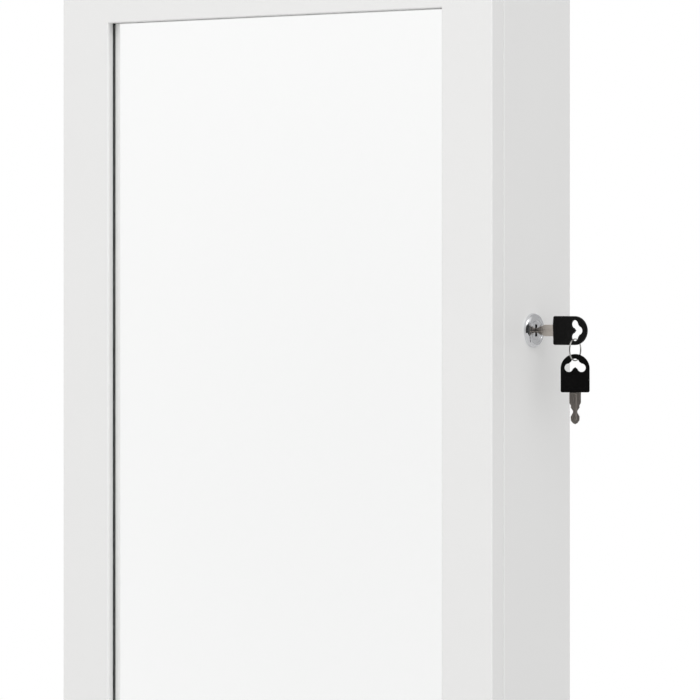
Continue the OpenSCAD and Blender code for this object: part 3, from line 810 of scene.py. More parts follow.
def screwMaster(size):
    # A cross-head screw. Its head's top is at z = 0 and it is driven along -Z
    head = size["head"]
    height = size["headHeight"]
    shank = size["shank"]
    length = size["length"]
    pitch = size["pitch"]
    chamfer = 0.12 * mm
    if size["domed"]:
        profile = [(0, 0)] + arc((-height, 0), (height, head), 80, 0, 7)
    else:
        profile = [(0, 0), (0, head - chamfer), (-chamfer, head), (-chamfer - 0.1 * mm, head)]
    profile.append((-height, shank))
    tip = length - 2.2 * shank    # where the point starts
    rows = int((tip - height - pitch) / (pitch / 4))
    profile += [(-height - pitch - i * pitch / 4, shank) for i in range(rows + 1)]
    profile += [(-tip - 0.2 * mm, 0.85 * shank), (-length, 0)]
    master = turned("screwMaster", profile, 20,
                    thread(pitch, 0.22 * shank, -tip, -height - pitch))
    return cutAway(master, crossCutter(0.32 * head, 1.15 * head, size["recess"]))


def screws(name, places, direction, size, seed):
    piece = driven(name, screwMaster(size), places, direction, "zinc", seed)
    evenShade(piece, 35)
    return piece


# ---- cabinet ----

# How far each part's edges are rounded
cabinetEase = {
    "panels": 1.3 * mm,
    "shelves": 0.6 * mm,
    "lining": 0.5 * mm,
    "board": 0.15 * mm,
    "guards": 0.5 * mm,
    "guardGap": 0.06 * mm,    # between a guard and its shelf
}


def lacquered(node, radius, spared=None, segments=3):
    part = easedCopy(node + "_lacquered", node, radius, spared, segments)
    settle(part, "lacquer", [node])


def makeCabinet():
    for node in ("side_panel_left", "side_panel_right", "top_panel", "bottom_panel"):
        lacquered(node, cabinetEase["panels"], inMortise)
    for node in ["hanging_rail_top", "hanging_rail_bottom", "necklace_rail", "divider"] + [
            "shelf_%d" % n for n in range(1, 8)]:
        lacquered(node, cabinetEase["shelves"])
    back = easedCopy("back_panel_laminate", "back_panel", cabinetEase["board"], shortest=40)
    settle(back, "laminate", ["back_panel"])
    lining = easedCopy("back_lining_velvet", "back_lining", cabinetEase["lining"])
    settle(lining, "velvet", ["back_lining"])
    off = cabinetEase["guardGap"]
    bars = [roundedBox("guard", low, (high.x, high.y - off, high.z), cabinetEase["guards"])
            for low, high in solids("shelf_guards")]
    guards = joined("shelf_guards_clear", bars)
    evenShade(guards)
    settle(guards, "acrylic", ["shelf_guards"])


makeCabinet()
print("cabinet made")

# ---- door ----

doorLook = {
    "arris": 0.8 * mm,
    "board": 0.3 * mm,          # rounding of the backing board
    "lining": 0.6 * mm,         # and of the velvet board
    "glassArris": 0.25 * mm,
    "glassGap": 0.15 * mm,      # between the frame's lip and the glass
    "silver": 0.1 * mm,         # thickness of the silver coat
    "silverInset": 0.6 * mm,
    "tape": 0.13 * mm,          # thickness of the dark tape that paints the shade line round the glass
    "shadeTapeSetBack": 0.1 * mm,    # behind the lip's edge
}


def makeDoor():
    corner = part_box("rail_top")[1]
    halfWidth = corner.x
    halfHeight = corner.z
    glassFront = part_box("mirror_glass")[0].y

    def staysCrisp(edge):
        # the seams between frame members stay closed, and the glass meets a crisp edge
        a, b = (v.co for v in edge.verts)
        mitred = a.x * b.x > 0 and a.z * b.z > 0 and all(
            abs((halfWidth - abs(v.co.x)) - (halfHeight - abs(v.co.z))) < near
            for v in edge.verts)
        onGlass = all(abs(v.co.y - glassFront) < near for v in edge.verts)
        return mitred or onGlass or inMortise(edge)

    for node in ("stile_left", "stile_right", "rail_top", "rail_bottom"):
        lacquered(node, doorLook["arris"], staysCrisp, 4)
    backing = easedCopy("mirror_backing_board", "mirror_backing", doorLook["board"])
    settle(backing, "hardboard", ["mirror_backing"])
    lining = easedCopy("door_lining_velvet", "door_lining", doorLook["lining"])
    settle(lining, "velvet", ["door_lining"])
    makeMirror()


def makeMirror():
    # Glass in front, and the silver as a thin coat at its back
    low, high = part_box("mirror_glass")
    coat = doorLook["silver"]
    inset = doorLook["silverInset"]
    glassLow = Vector((low.x, low.y + doorLook["glassGap"], low.z))
    glassHigh = Vector((high.x, high.y - 0.5 * coat, high.z))
    glass = roundedBox("mirror_pane", glassLow, glassHigh, doorLook["glassArris"], 2)
    evenShade(glass)
    settle(glass, "glass", ["mirror_glass"])
    silverLow = Vector((low.x + inset, high.y - coat, low.z + inset))
    silverHigh = Vector((high.x - inset, high.y, high.z - inset))
    silver = roundedBox("mirror_silver", silverLow, silverHigh, 0.2 * coat, 1)
    evenShade(silver)
    settle(silver, "silver", (), "door")
    # dark tape under the lip, painted shade for the line round the glass
    makeShadeLineTape(low, high)


def makeShadeLineTape(low, high):
    # Dark tape between the frame's lip and the glass, four strips with butted ends. It is painted
    # shade: it darkens the line that the glass's edge shows under the lip
    off = doorLook["shadeTapeSetBack"]
    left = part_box("stile_left")[1].x - off
    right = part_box("stile_right")[0].x + off
    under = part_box("rail_bottom")[1].z - off
    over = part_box("rail_top")[0].z + off
    strips = ((low.x, left, low.z, high.z), (right, high.x, low.z, high.z),
              (left, right, low.z, under), (left, right, over, high.z))
    front = low.y + 0.01 * mm
    back = front + doorLook["tape"]
    shadeTapes = [roundedBox("tape", (x0, front, z0), (x1, back, z1), 0.03 * mm, 1)
             for x0, x1, z0, z1 in strips]
    tape = joined("mirror_bedding_tape", shadeTapes)
    evenShade(tape)
    settle(tape, "tape", (), "door")


makeDoor()
print("door made")

# ---- lock ----

lockLook = {
    "pitch": 1.0 * mm,
    "threadDepth": 0.35 * mm,
    "bore": 0.05 * mm,         # clearance round the plug
    "nutWall": 2.5 * mm,
    "crown": 2.5 * mm,         # how far in the flange's rounding reaches
    "shoulder": 0.7 * mm,      # the flange's height where the rounding starts
    "rimInset": 3.4 * mm,      # from the flange's edge to its inner rim
    "plugRim": 0.22 * mm,
    "nutRim": 0.5 * mm,
    "camRim": 0.25 * mm,
}


def makeLock():
    low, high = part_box("lock_housing")
    plugLow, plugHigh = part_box("lock_plug")
    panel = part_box("side_panel_right")[1].x
    axis = Vector((panel, middle((low, high)).y, middle((low, high)).z))
    flange = (high.z - low.z) / 2
    front = high.x - panel
    back = low.x - panel
    nutLow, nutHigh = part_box("lock_nut")
    barrel = (nutHigh.y - nutLow.y) / 2 - lockLook["nutWall"]
    bore = (plugHigh.z - plugLow.z) / 2 + lockLook["bore"]
    rim = flange - lockLook["rimInset"]
    recess = front - (plugHigh.x - panel)
    pitch = lockLook["pitch"]
    profile = [(back, bore), (back, barrel - 0.6 * mm), (back + 0.6 * mm, barrel)]
    rows = int(-(back + 1.6 * mm) / (pitch / 6))
    profile += [(back + 0.8 * mm + i * pitch / 6, barrel) for i in range(rows)]
    profile += [(0, barrel), (0, flange - 0.3 * mm), (0.25 * mm, flange), (0.6 * mm, flange)]
    profile += arc((lockLook["shoulder"], flange - lockLook["crown"]),
                   (front - lockLook["shoulder"], lockLook["crown"]), 8, 82, 10)
    profile += [(front, rim + 0.75 * mm), (front, rim + 0.25 * mm), (front - 0.08 * mm, rim),
                (front - recess, rim - 0.12 * mm), (front - recess, bore + 0.25 * mm),
                (front - recess - 0.2 * mm, bore)]
    housing = turned("lock_housing_turned", profile, 96,
                     thread(pitch, lockLook["threadDepth"], back + 0.8 * mm, -0.8 * mm), True)
    housing.data.transform(Matrix.Translation(axis) @ Matrix.Rotation(pi / 2, 4, "Y"))
    evenShade(housing, 32)
    settle(housing, "chrome", ["lock_housing"])
    plug = easedCopy("lock_plug_turned", "lock_plug", lockLook["plugRim"], None, 3, 1.0)
    settle(plug, "chrome", ["lock_plug"])
    nut = easedCopy("lock_nut_chamfered", "lock_nut", lockLook["nutRim"], None, 2, 1.0)
    settle(nut, "zinc", ["lock_nut"])
    cam = plateCopy("lock_cam_pressed", "lock_cam", lockLook["camRim"], 0, 0.5 * mm)
    settle(cam, "zinc", ["lock_cam"])
    makeCamScrew(axis)


camScrew = {"head": 5.2 * mm, "headHeight": 2.2 * mm, "shank": 1.6 * mm, "length": 9.0 * mm,
            "pitch": 0.7 * mm, "recess": 1.4 * mm, "domed": True}


def makeCamScrew(axis):
    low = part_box("cam_screw")[0]
    place = Vector((low.x, axis.y, axis.z))
    screw = screws("cam_screw_cross", [place], (-1, 0, 0), camScrew, 3)
    settle(screw, "zinc", ["cam_screw"])


makeLock()

# ---- keys ----

keyLook = {"bowRim": 0.5 * mm, "recessRim": 0.16 * mm, "bladeRim": 0.16 * mm}
ringLook = {
    "turns": 2,
    "steps": 96,           # round one turn
    "wire": 0.26 * mm,     # half the wire's width along the ring's axis
    "flat": 1.5,           # how much wider the wire is the other way
    "inset": 0.22 * mm,
    "start": 0.6,          # angle where the wire begins
    "crossing": 0.42,      # share of the length where the turns start to cross
    "crossed": 0.16,       # and how much of it the crossing takes
}


def makeKeys():
    for bow, blade in (("key_bow", "key_blade"), ("spare_key_bow", "spare_key_blade")):
        grip = plateCopy(bow + "_moulded", bow, keyLook["bowRim"], keyLook["recessRim"])
        settle(grip, "black", [bow])
        bit = plateCopy(blade + "_milled", blade, keyLook["bladeRim"], 0, 0.3 * mm, 2)
        settle(bit, "nickel", [blade])
    makeSplitRing()


def makeSplitRing():
    # Flat wire wound twice: the turns lie side by side, and cross over in a short bend
    low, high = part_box("key_ring")
    centre = middle((low, high))
    outer = (high.z - low.z) / 2
    wire = ringLook["wire"]
    turns = ringLook["turns"]
    rise = (high.x - low.x) - 2 * wire
    form = bmesh.new()
    count = ringLook["steps"] * turns
    sides = 10
    rings = []
    for i in range(count + 1):
        share = i / count
        angle = 2 * pi * turns * share + ringLook["start"]
        crossed = min(1, max(0, (share - ringLook["crossing"]) / ringLook["crossed"]))
        x = centre.x - rise / 2 + rise * (0.5 - 0.5 * cos(pi * crossed))
        away = Vector((0, cos(angle), sin(angle)))
        spot = Vector((x, centre.y, centre.z)) + away * (outer - wire - ringLook["inset"])
        ring = []
        for k in range(sides):
            turn = 2 * pi * k / sides
            reach = away * (wire * ringLook["flat"] * cos(turn))
            ring.append(form.verts.new(spot + reach + Vector((wire * sin(turn), 0, 0))))
        rings.append(ring)
    skin(form, rings)
    form.faces.new(rings[0][::-1])
    form.faces.new(rings[-1])
    bmesh.ops.recalc_face_normals(form, faces=form.faces)
    ring = fromBmesh("key_ring_split", form)
    evenShade(ring, 50)
    settle(ring, "wire", ["key_ring"])


makeKeys()
print("lock and keys made")

# ---- hinges, screws and small hardware ----

leafScrew = {"head": 2.6 * mm, "headHeight": 1.0 * mm, "shank": 1.4 * mm, "length": 12 * mm,
             "pitch": 1.0 * mm, "recess": 0.7 * mm, "domed": False}
backScrew = {"head": 3.0 * mm, "headHeight": 2.0 * mm, "shank": 1.2 * mm, "length": 18 * mm,
             "pitch": 1.1 * mm, "recess": 1.3 * mm, "domed": False}
strikeScrew = {"head": 2.7 * mm, "headHeight": 1.6 * mm, "shank": 1.25 * mm, "length": 10 * mm,
               "pitch": 1.0 * mm, "recess": 1.1 * mm, "domed": True}
hingeLook = {"leafRim": 0.18 * mm, "dome": 0.5 * mm, "head": 0.8 * mm, "pin": 1.25 * mm}


def makeHinges():
    for n in range(1, 4):
        for side in ("body", "door"):
            node = "hinge_%d_%s_leaf" % (n, side)
            leaf = easedCopy(node + "_rolled", node, hingeLook["leafRim"], None, 2, 6.0)
            settle(leaf, "zinc", [node])
    places = [middle(box) for box in solids("hinge_pins")]
    low, high = solids("hinge_pins")[0]
    half = (high.z - low.z) / 2
    wide = (high.x - low.x) / 2
    neck = half - 2 * hingeLook["head"]
    dome = hingeLook["dome"]
    upper = arc((half - dome, wide - dome), (dome, dome), 90, 0, 4)[::-1]
    lower = [(-h, r) for h, r in upper[::-1]]
    profile = [(-half, 0)] + lower + [(-neck, wide), (-neck, hingeLook["pin"])]
    profile += [(neck, hingeLook["pin"]), (neck, wide)] + upper + [(half, 0)]
    pins = driven("hinge_pins_domed", turned("pinMaster", profile, 32), places, (0, 0, 1),
                  "zinc", 5)
    evenShade(pins, 35)
    settle(pins, "zinc", ["hinge_pins"])


def headPlaces(node, side):
    # Where the heads of a row of screws along Y end, at the low or the high side
    places = []
    for low, high in solids(node):
        centre = middle((low, high))
        places.append(Vector((centre.x, high.y if side > 0 else low.y, centre.z)))
    return places


def makeScrews():
    rows = (("hinge_body_screws", -1, leafScrew, 11), ("hinge_door_screws", 1, leafScrew, 12),
            ("back_screws", 1, backScrew, 13), ("strike_screws", 1, strikeScrew, 14))
    for node, side, size, seed in rows:
        size = dict(size)
        low, high = solids(node)[0]
        size["length"] = high.y - low.y
        piece = screws(node + "_cross", headPlaces(node, side), (0, side, 0), size, seed)
        settle(piece, "zinc", [node])


washerLook = {"rim": 7.0 * mm, "bore": 3.3 * mm, "height": 1.8 * mm, "wall": 0.45 * mm,
              "roll": 1.7 * mm}


def makeCupWashers():
    # A pressed cup with a rolled rim, sunk towards its bore
    rim = washerLook["rim"]
    bore = washerLook["bore"]
    top = washerLook["height"]
    roll = washerLook["roll"]
    profile = [(0, rim - washerLook["wall"]), (0, rim)]
    profile += arc((0.4 * top, rim - roll), (0.6 * top, roll), 10, 80, 6)
    profile += [(top, rim - roll - 0.5 * mm), (top - 0.15 * mm, rim - roll - 1.0 * mm),
                (0.3 * top, bore + 0.25 * mm), (0.12 * top, bore), (0, bore)]
    washers = driven("cup_washers_pressed", turned("washerMaster", profile, 48, None, True),
                     headPlaces("cup_washers", 1), (0, -1, 0), "zinc", 6)
    evenShade(washers, 35)
    settle(washers, "zinc", ["cup_washers"])


sheetRims = {"bracket": 0.3 * mm, "clips": 0.2 * mm, "strikes": 0.18 * mm}


def makeBracketAndClips():
    bracket = easedCopy("strike_bracket_bent", "strike_bracket", sheetRims["bracket"])
    settle(bracket, "zinc", ["strike_bracket"])
    clips = easedCopy("retainer_clips_pressed", "retainer_clips", sheetRims["clips"], None, 2, 1.0)
    settle(clips, "zinc", ["retainer_clips"])
    strikes = easedCopy("magnet_strikes_plate", "magnet_strikes", sheetRims["strikes"], None, 2)
    settle(strikes, "zinc", ["magnet_strikes"])


catchLook = {
    "corner": 1.0 * mm,
    "plate": 1.2 * mm,         # thickness of a pole plate
    "plateDepth": 9.0 * mm,
    "plateInset": 7.0 * mm,    # from the case's ends
    "plateEdge": 2.4 * mm,     # from its faces
    "proud": 0.9 * mm,         # how far the plates stand out of the case
    "slot": 3.2 * mm,
    "slotInset": 3.6 * mm,
    "slotEnds": (3 * mm, 4 * mm),
}


def makeCatches():
    # A moulded case with two steel pole plates, and a screw slot at each end
    cases = []
    plates = []
    for low, high in solids("magnet_catches"):
        case = roundedBox("case", (low.x, low.y + catchLook["proud"], low.z), high,
                          catchLook["corner"], 4)
        half = catchLook["slot"] / 2
        centre = middle((low, high)).y
        front = centre - catchLook["slotEnds"][0]
        back = centre + catchLook["slotEnds"][1]
        for x in (low.x + catchLook["slotInset"], high.x - catchLook["slotInset"]):
            cutter = roundedBox("slotCutter", (x - half, front, low.z - 1 * mm),
                                (x + half, back, high.z + 1 * mm), 1.3 * mm, 4)
            case = cutAway(case, cutter)
        cases.append(case)
        left = low.x + catchLook["plateInset"]
        right = high.x - catchLook["plateInset"]
        thick = catchLook["plate"]
        for z in (low.z + catchLook["plateEdge"], high.z - catchLook["plateEdge"] - thick):
            plates.append(roundedBox("plate", (left, low.y, z),
                                     (right, low.y + catchLook["plateDepth"], z + thick),
                                     0.25 * mm, 2))
    case = joined("magnet_catches_case", cases)
    evenShade(case)
    settle(case, "black", ["magnet_catches"])
    plate = joined("magnet_catches_poles", plates)
    evenShade(plate)
    settle(plate, "zinc", (), "cabinet")


makeHinges()
makeScrews()
makeCupWashers()
makeBracketAndClips()
makeCatches()
print("hardware made")

# ---- hooks and rods ----

hookLook = {"wire": 1.3 * mm, "bend": 3.2 * mm, "tip": 7 * mm, "ball": 1.7 * mm,
            "rosette": 3.2 * mm, "rosetteHeight": 1.2 * mm}


def makeHooks(name, node, side):
    # Bent round wire in a row: out of the rail, round a bend and up to a ball end
    boxes = solids(node)
    wire = hookLook["wire"]
    rosette = hookLook["rosette"]
    first = boxes[0]
    back = first[1].y if side < 0 else first[0].y
    front = first[0].y if side < 0 else first[1].y
    reach = abs(front - back) - hookLook["ball"]
    places = [Vector((middle(b).x, back, b[0].z + rosette)) for b in boxes]
    row = pointCloud(name, places)
    plan = Plan(name + "Plan")
    wireIn = plan.ask("Wire", "Float", wire)
    reachIn = plan.ask("Reach", "Float", reach)
    tipIn = plan.ask("Tip", "Float", hookLook["tip"])
    bendIn = plan.ask("Bend", "Float", hookLook["bend"])
    ballIn = plan.ask("Ball", "Float", hookLook["ball"])
    rosetteIn = plan.ask("Rosette", "Float", rosette)
    heightIn = plan.ask("Rosette Height", "Float", hookLook["rosetteHeight"])
    turnIn = plan.ask("Turn", "Vector", (0, 0, 0 if side > 0 else pi))

    def point(x, y, z):
        return plan.node("ShaderNodeCombineXYZ", {}, {0: x, 1: y, 2: z})

    out = plan.node("GeometryNodeCurvePrimitiveLine", {},
                    {"Start": (0, 0, 0), "End": point(0, reachIn, 0)})
    up = plan.node("GeometryNodeCurvePrimitiveLine", {},
                   {"Start": point(0, reachIn, 0), "End": point(0, reachIn, tipIn)})
    both = plan.tree.nodes.new("GeometryNodeJoinGeometry")
    plan.tree.links.new(out.socket, both.inputs[0])
    plan.tree.links.new(up.socket, both.inputs[0])
    line = plan.node("GeometryNodeCurveToMesh", {}, {0: Flow(plan, both.outputs[0])})
    line = plan.node("GeometryNodeMergeByDistance", {}, {"Geometry": line, "Distance": 1e-5})
    line = plan.node("GeometryNodeMeshToCurve", {}, {0: line})
    line = plan.node("GeometryNodeFilletCurve", {"mode": "POLY"},
                     {"Curve": line, "Count": 8, "Radius": bendIn})
    ring = plan.node("GeometryNodeCurvePrimitiveCircle", {}, {"Resolution": 14, "Radius": wireIn})
    stem = plan.node("GeometryNodeCurveToMesh", {},
                     {"Curve": line, "Profile Curve": ring, "Fill Caps": True})
    ball = plan.node("GeometryNodeMeshUVSphere", {},
                     {"Segments": 18, "Rings": 10, "Radius": ballIn})
    ball = plan.node("GeometryNodeTransform", {},
                     {"Geometry": ball, "Translation": point(0, reachIn, tipIn)})
    disc = plan.node("GeometryNodeMeshCone", {},
                     {"Vertices": 28, "Radius Top": rosetteIn * 0.72,
                      "Radius Bottom": rosetteIn, "Depth": heightIn})
    disc = plan.node("GeometryNodeTransform", {},
                     {"Geometry": disc, "Rotation": (-pi / 2, 0, 0)})
    hook = plan.tree.nodes.new("GeometryNodeJoinGeometry")
    for part in (stem, ball, disc):
        plan.tree.links.new(part.socket, hook.inputs[0])
    copies = plan.node("GeometryNodeInstanceOnPoints", {},
                       {"Points": plan.start(), "Instance": Flow(plan, hook.outputs[0]),
                        "Rotation": turnIn})
    plan.close(copies, "chrome")
    plan.run(row)
    evenShade(row, 50)
    settle(row, "chrome", [node])


rodLook = {"round": 0.7 * mm, "lip": 0.8 * mm}


def makeRods():
    boxes = solids("bracelet_rods")
    low, high = boxes[0]
    half = (high.x - low.x) / 2
    radius = (high.z - low.z) / 2
    soft = rodLook["round"]
    end = arc((half - soft, radius - soft), (soft, soft), 90, 0, 4)
    profile = [(half, 0)] + end + [(-h, r) for h, r in end[::-1]] + [(-half, 0)]
    rods = driven("bracelet_rods_polished", turned("rodMaster", profile, 40),
                  [middle(b) for b in boxes], (1, 0, 0), "chrome", 7)
    evenShade(rods, 35)
    settle(rods, "chrome", ["bracelet_rods"])
    bore = radius + 0.05 * mm
    cups = []
    sockets = solids("rod_sockets")
    midX = (min(b[0].x for b in sockets) + max(b[1].x for b in sockets)) / 2
    outer = (sockets[0][1].z - sockets[0][0].z) / 2
    deep = sockets[0][1].x - sockets[0][0].x
    lip = rodLook["lip"]
    profile = [(0, 0), (0, outer - 0.3 * mm), (0.3 * mm, outer), (0.25 * deep, outer),
               (0.38 * deep, outer - 0.5 * mm), (deep - 1.4 * lip, outer - 0.6 * mm)]
    profile += arc((deep - lip, outer - 0.6 * mm - lip), (lip, lip), 8, 90, 5)
    profile += [(deep, bore + 0.3 * mm), (deep - 0.3 * mm, bore), (deep / 2, bore), (deep / 2, 0)]
    for side in (-1, 1):
        group = [b for b in sockets if (middle(b).x - midX) * side > 0]
        places = [Vector((b[0].x if side < 0 else b[1].x, middle(b).y, middle(b).z))
                  for b in group]
        cups.append(driven("cups", turned("cupMaster", profile, 48), places, (-side, 0, 0),
                           "chrome", 8))
    socket = joined("rod_sockets_turned", cups)
    evenShade(socket, 35)
    settle(socket, "chrome", ["rod_sockets"])


makeHooks("necklace_hooks_bent", "necklace_hooks", -1)
makeHooks("door_hooks_bent", "door_hooks", 1)
makeRods()
print("hooks and rods made")

# ---- soft linings ----

rollLook = {
    "press": 0.985,         # how much the rolls flatten each other
    "flatBack": 0.93,       # and the board flattens them behind
    "crown": 3.5 * mm,      # length of the rounded end
    "endSize": 0.42,        # the end's radius, as a share of the roll's
    "fill": 0.85,
    "ripple": 0.16 * mm,
    "baseEase": 0.8 * mm,
}


def makeRoll(index, box):
    # A velvet-wrapped foam roll: round in front, flatter behind and where it meets the next
    low, high = box
    centre = middle(box)
    radius = (high.z - low.z) / 2
    half = (high.x - low.x) / 2
    crown = rollLook["crown"]
    endSize = rollLook["endSize"]
    around = 40
    ends = 5
    inner = 110
    rows = [(-half + crown * (1 - cos(pi / 2 * i / ends)),
             endSize + (1 - endSize) * sin(pi / 2 * i / ends)) for i in range(ends + 1)]
    rows += [(-half + crown + 2 * (half - crown) * i / inner, 1) for i in range(1, inner)]
    rows += [(-x, size) for x, size in rows[:ends + 1][::-1]]
    form = bmesh.new()
    rings = []
    for x, size in rows:
        ring = []
        for k in range(around):
            angle = 2 * pi * k / around
            lift = noise.noise(Vector((x * 70, 2.2 * cos(angle) + 9 * index, 2.2 * sin(angle))))
            r = min(radius, (radius + rollLook["ripple"] * lift) * size)
            up = abs(sin(angle)) ** 0.82 * (1 if sin(angle) > 0 else -1)
            out = cos(angle) * (1 if cos(angle) > 0 else rollLook["flatBack"])
            ring.append(form.verts.new((centre.x + x, centre.y - r * out,
                                        centre.z + r * up * rollLook["press"])))
        rings.append(ring)
    skin(form, rings)
    for ring in (rings[0], rings[-1]):
        tip = form.verts.new(sum((v.co for v in ring), Vector()) / around)
        for k in range(around):
            form.faces.new((ring[k], ring[(k + 1) % around], tip))
    bmesh.ops.recalc_face_normals(form, faces=form.faces)
    roll = fromBmesh("ring_roll_%d" % (index + 1), form)
    evenShade(roll, 60)
    return roll


def makeRings():
    base = easedCopy("ring_base_velvet", "ring_base", rollLook["baseEase"])
    settle(base, "velvet", ["ring_base"])
    boxes = sorted(solids("ring_rolls"), key=lambda b: b[0].z)
    for index, box in enumerate(boxes):
        roll = makeRoll(index, box)
        stands = ["ring_rolls"] if index == 0 else ()
        settle(roll, "roll", stands, "cabinet")


pouchLook = {
    "cloth": 1.1 * mm,       # thickness of the velvet
    "mouth": 0.62,           # depth at the gathered mouth, as a share of the full depth
    "foot": 0.16,            # share of the height in which the bottom closes
    "corner": 0.07,          # share of the width that each side's rounding takes
    "cornerReach": 5 * mm,
    "side": 1.2 * mm,        # clear of the piece's box at each side
    "pleats": 13,
    "pleatDepth": 1.5 * mm,
    "hem": 7 * mm,
    "hemSpare": 8 * mm,      # cloth turned over in the hem
    "sag": 3.0 * mm,
    "columns": 208,
    "rows": 56,
}


def pouchPoint(across, up, box):
    # The pouch's skin: across runs 0..1 from the left seam round the front to the right seam
    low, high = box
    wide = high.x - low.x
    deep = high.y - low.y
    tall = high.z - low.z
    belly = sin(pi * min(1, up * 1.12 + 0.05)) ** 0.7
    depth = deep * (pouchLook["mouth"] + (0.96 - pouchLook["mouth"]) * belly)
    if up < pouchLook["foot"]:
        depth *= (up / pouchLook["foot"]) ** 0.5 * 0.86 + 0.14
    corner = pouchLook["corner"]
    reach = pouchLook["cornerReach"]
    side = pouchLook["side"]
    if across < corner:
        share = across / corner
        x = low.x + side + reach * (1 - cos(pi / 2 * share))
        y = high.y - depth * sin(pi / 2 * share)
    elif across > 1 - corner:
        share = (1 - across) / corner
        x = high.x - side - reach * (1 - cos(pi / 2 * share))
        y = high.y - depth * sin(pi / 2 * share)
    else:
        share = (across - corner) / (1 - 2 * corner)
        x = low.x + side + reach + (wide - 2 * (side + reach)) * share
        y = high.y - depth
    inside = min(1, min(across, 1 - across) / (1.6 * corner))
    gather = max(0, up - 0.25) ** 1.3 * inside
    phase = 2 * pi * pouchLook["pleats"] * across
    fold = sin(phase + 1.4 * sin(0.37 * phase)) * pouchLook["pleatDepth"] * gather
    soft = noise.noise(Vector((across * 7, up * 3, 0.4))) * 1.3 * mm * inside * (1 - 0.5 * up)
    y = min(high.y - 0.3 * mm, max(low.y + 0.75 * mm, y + fold + soft))
    z = low.z + 0.7 * mm + (tall - 1.6 * mm) * up
    z -= pouchLook["sag"] * inside * sin(pi * across) * up ** 2
    return Vector((x, y, z))


def makePouch():
    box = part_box("chain_pouch")
    columns = pouchLook["columns"]
    rows = pouchLook["rows"]
    form = bmesh.new()
    grid = [[form.verts.new(pouchPoint(i / columns, j / rows, box)) for i in range(columns + 1)]
            for j in range(rows + 1)]
    for lower, upper in zip(grid, grid[1:]):
        for i in range(columns):
            form.faces.new((lower[i], lower[i + 1], upper[i + 1], upper[i]))
    flatArea = sum(f.calc_area() for f in form.faces)
    pouch = fromBmesh("chain_pouch_gathered", form)
    wall = pouch.modifiers.new("cloth", "SOLIDIFY")
    wall.thickness = pouchLook["cloth"]
    wall.offset = 0
    bakeModifiers(pouch)
    evenShade(pouch, 70)
    settle(pouch, "velvet", ["chain_pouch"])
    low, high = box
    flat = (high.x - low.x + 2 * (high.y - low.y), high.z - low.z + pouchLook["hemSpare"])
    hem = makeHem(box)
    seam = makeStitches(box)
    print("pouch skin %.4f m2 of %.4f m2" % (flatArea, flat[0] * flat[1]))


def makeHem(box):
    # An elastic hem: a soft tube along the mouth
    count = pouchLook["columns"]
    sides = 10
    thick = 1.05 * mm
    step = 0.004
    form = bmesh.new()
    rings = []
    drop = pouchLook["hem"] / 2
    level = 1 - drop / (box[1].z - box[0].z)
    for i in range(count + 1):
        across = i / count
        centre = pouchPoint(across, level, box)
        ahead = pouchPoint(min(1, across + step), level, box)
        behind = pouchPoint(max(0, across - step), level, box)
        side = (ahead - behind).cross(Vector((0, 0, 1))).normalized()
        ring = []
        for k in range(sides):
            turn = 2 * pi * k / sides
            ring.append(form.verts.new(centre + side * (thick * cos(turn))
                                       + Vector((0, 0, 0.92 * drop * sin(turn)))))
        rings.append(ring)
    skin(form, rings)
    form.faces.new(rings[0])
    form.faces.new(rings[-1])
    bmesh.ops.recalc_face_normals(form, faces=form.faces)
    hem = fromBmesh("chain_pouch_hem", form)
    evenShade(hem, 60)
    settle(hem, "velvet", (), "cabinet")
    return hem


stitchLook = {"length": 2.2 * mm, "gap": 1.1 * mm, "thread": 0.17 * mm}


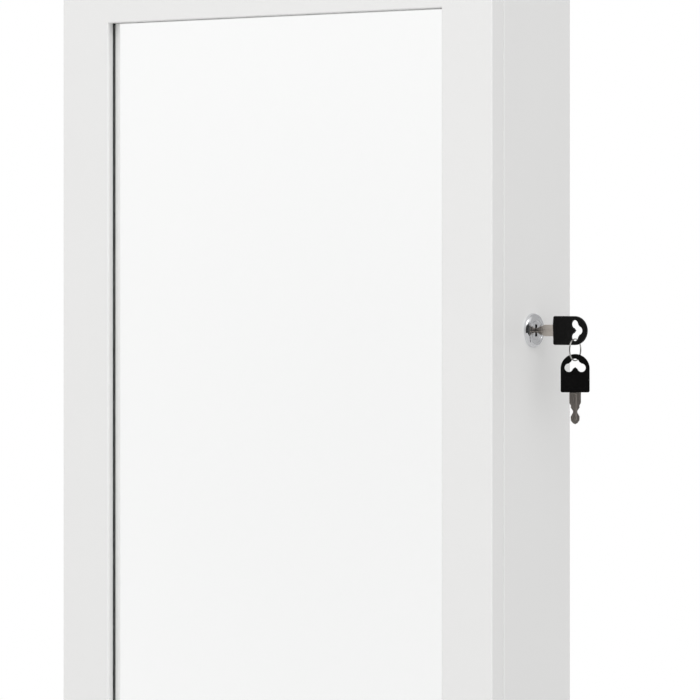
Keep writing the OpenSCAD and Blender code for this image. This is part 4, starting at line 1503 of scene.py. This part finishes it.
def stitched(name, lines, body):
    # Thread stitches along lines: a slim bead at every step
    mesh = bpy.data.meshes.new(name)
    points = []
    edges = []
    for line in lines:
        start = len(points)
        points += [tuple(p) for p in line]
        edges += [(start + i, start + i + 1) for i in range(len(line) - 1)]
    mesh.from_pydata(points, edges, [])
    piece = newPiece(name, mesh)
    plan = Plan(name + "Plan")
    lengthIn = plan.ask("Stitch Length", "Float", stitchLook["length"])
    gapIn = plan.ask("Stitch Gap", "Float", stitchLook["gap"])
    threadIn = plan.ask("Thread Radius", "Float", stitchLook["thread"])
    path = plan.node("GeometryNodeMeshToCurve", {}, {0: plan.start()})
    path = plan.node("GeometryNodeResampleCurve", {"mode": "LENGTH"},
                     {"Curve": path, "Length": lengthIn + gapIn})
    tangent = plan.node("GeometryNodeInputTangent", {}, {})
    turn = plan.node("FunctionNodeAlignRotationToVector", {"axis": "Z"}, {"Vector": tangent})
    stitch = plan.node("GeometryNodeMeshUVSphere", {}, {"Segments": 6, "Rings": 6, "Radius": 1.0})
    size = plan.node("ShaderNodeCombineXYZ", {}, {0: threadIn, 1: threadIn, 2: lengthIn / 2})
    stitch = plan.node("GeometryNodeTransform", {}, {"Geometry": stitch, "Scale": size})
    copies = plan.node("GeometryNodeInstanceOnPoints", {},
                       {"Points": path, "Instance": stitch, "Rotation": turn})
    plan.close(copies, "roll")
    plan.run(piece)
    evenShade(piece, 80)
    settle(piece, "roll", (), body)
    return piece


def makeStitches(box):
    # One row, just under the hem and on the front of the cloth
    count = 120
    level = 1 - 1.15 * pouchLook["hem"] / (box[1].z - box[0].z)
    line = []
    for i in range(count + 1):
        spot = pouchPoint(0.05 + 0.9 * i / count, level, box)
        line.append(spot - Vector((0, 0.62 * mm, 0)))
    return stitched("chain_pouch_stitches", [line], "cabinet")


boardLook = {"rim": 0.3 * mm, "seamInset": 3 * mm}


def makeEarringBoard():
    board = plateCopy("earring_board_velvet", "earring_board", boardLook["rim"], 0, 0.3 * mm, 2)
    settle(board, "velvet", ["earring_board"])
    low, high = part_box("earring_board")
    inset = boardLook["seamInset"]
    y = high.y + 0.02 * mm
    left = low.x + inset
    right = high.x - inset
    bottom = low.z + inset
    top = high.z - inset
    loop = [Vector((left, y, bottom)), Vector((right, y, bottom)), Vector((right, y, top)),
            Vector((left, y, top)), Vector((left, y, bottom))]
    stitched("earring_board_stitches", [loop[i:i + 2] for i in range(4)], "door")
    lacquered("door_hook_rail", cabinetEase["shelves"])


makeRings()
makePouch()
makeEarringBoard()
print("soft parts made")

# ---- floor ----


def makeFloor():
    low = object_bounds()[0]
    form = bmesh.new()
    bmesh.ops.create_grid(form, x_segments=1, y_segments=1, size=studio["floorSize"])
    bmesh.ops.translate(form, verts=form.verts, vec=(0, 0, low.z - 1 * mm))
    floor = fromBmesh("studioFloor", form)
    paper = Finish("paleFloor", {"Roughness": 0.9})
    tone = studio["floorTone"]
    drift = paper.cloud(paper.spot(), 1.5, 2)
    paper.give({"Base Color": paper.mix(drift, grey(tone), grey(tone - 0.02))})
    floor.data.materials.append(paper.material)


makeFloor()
print("all pieces made")
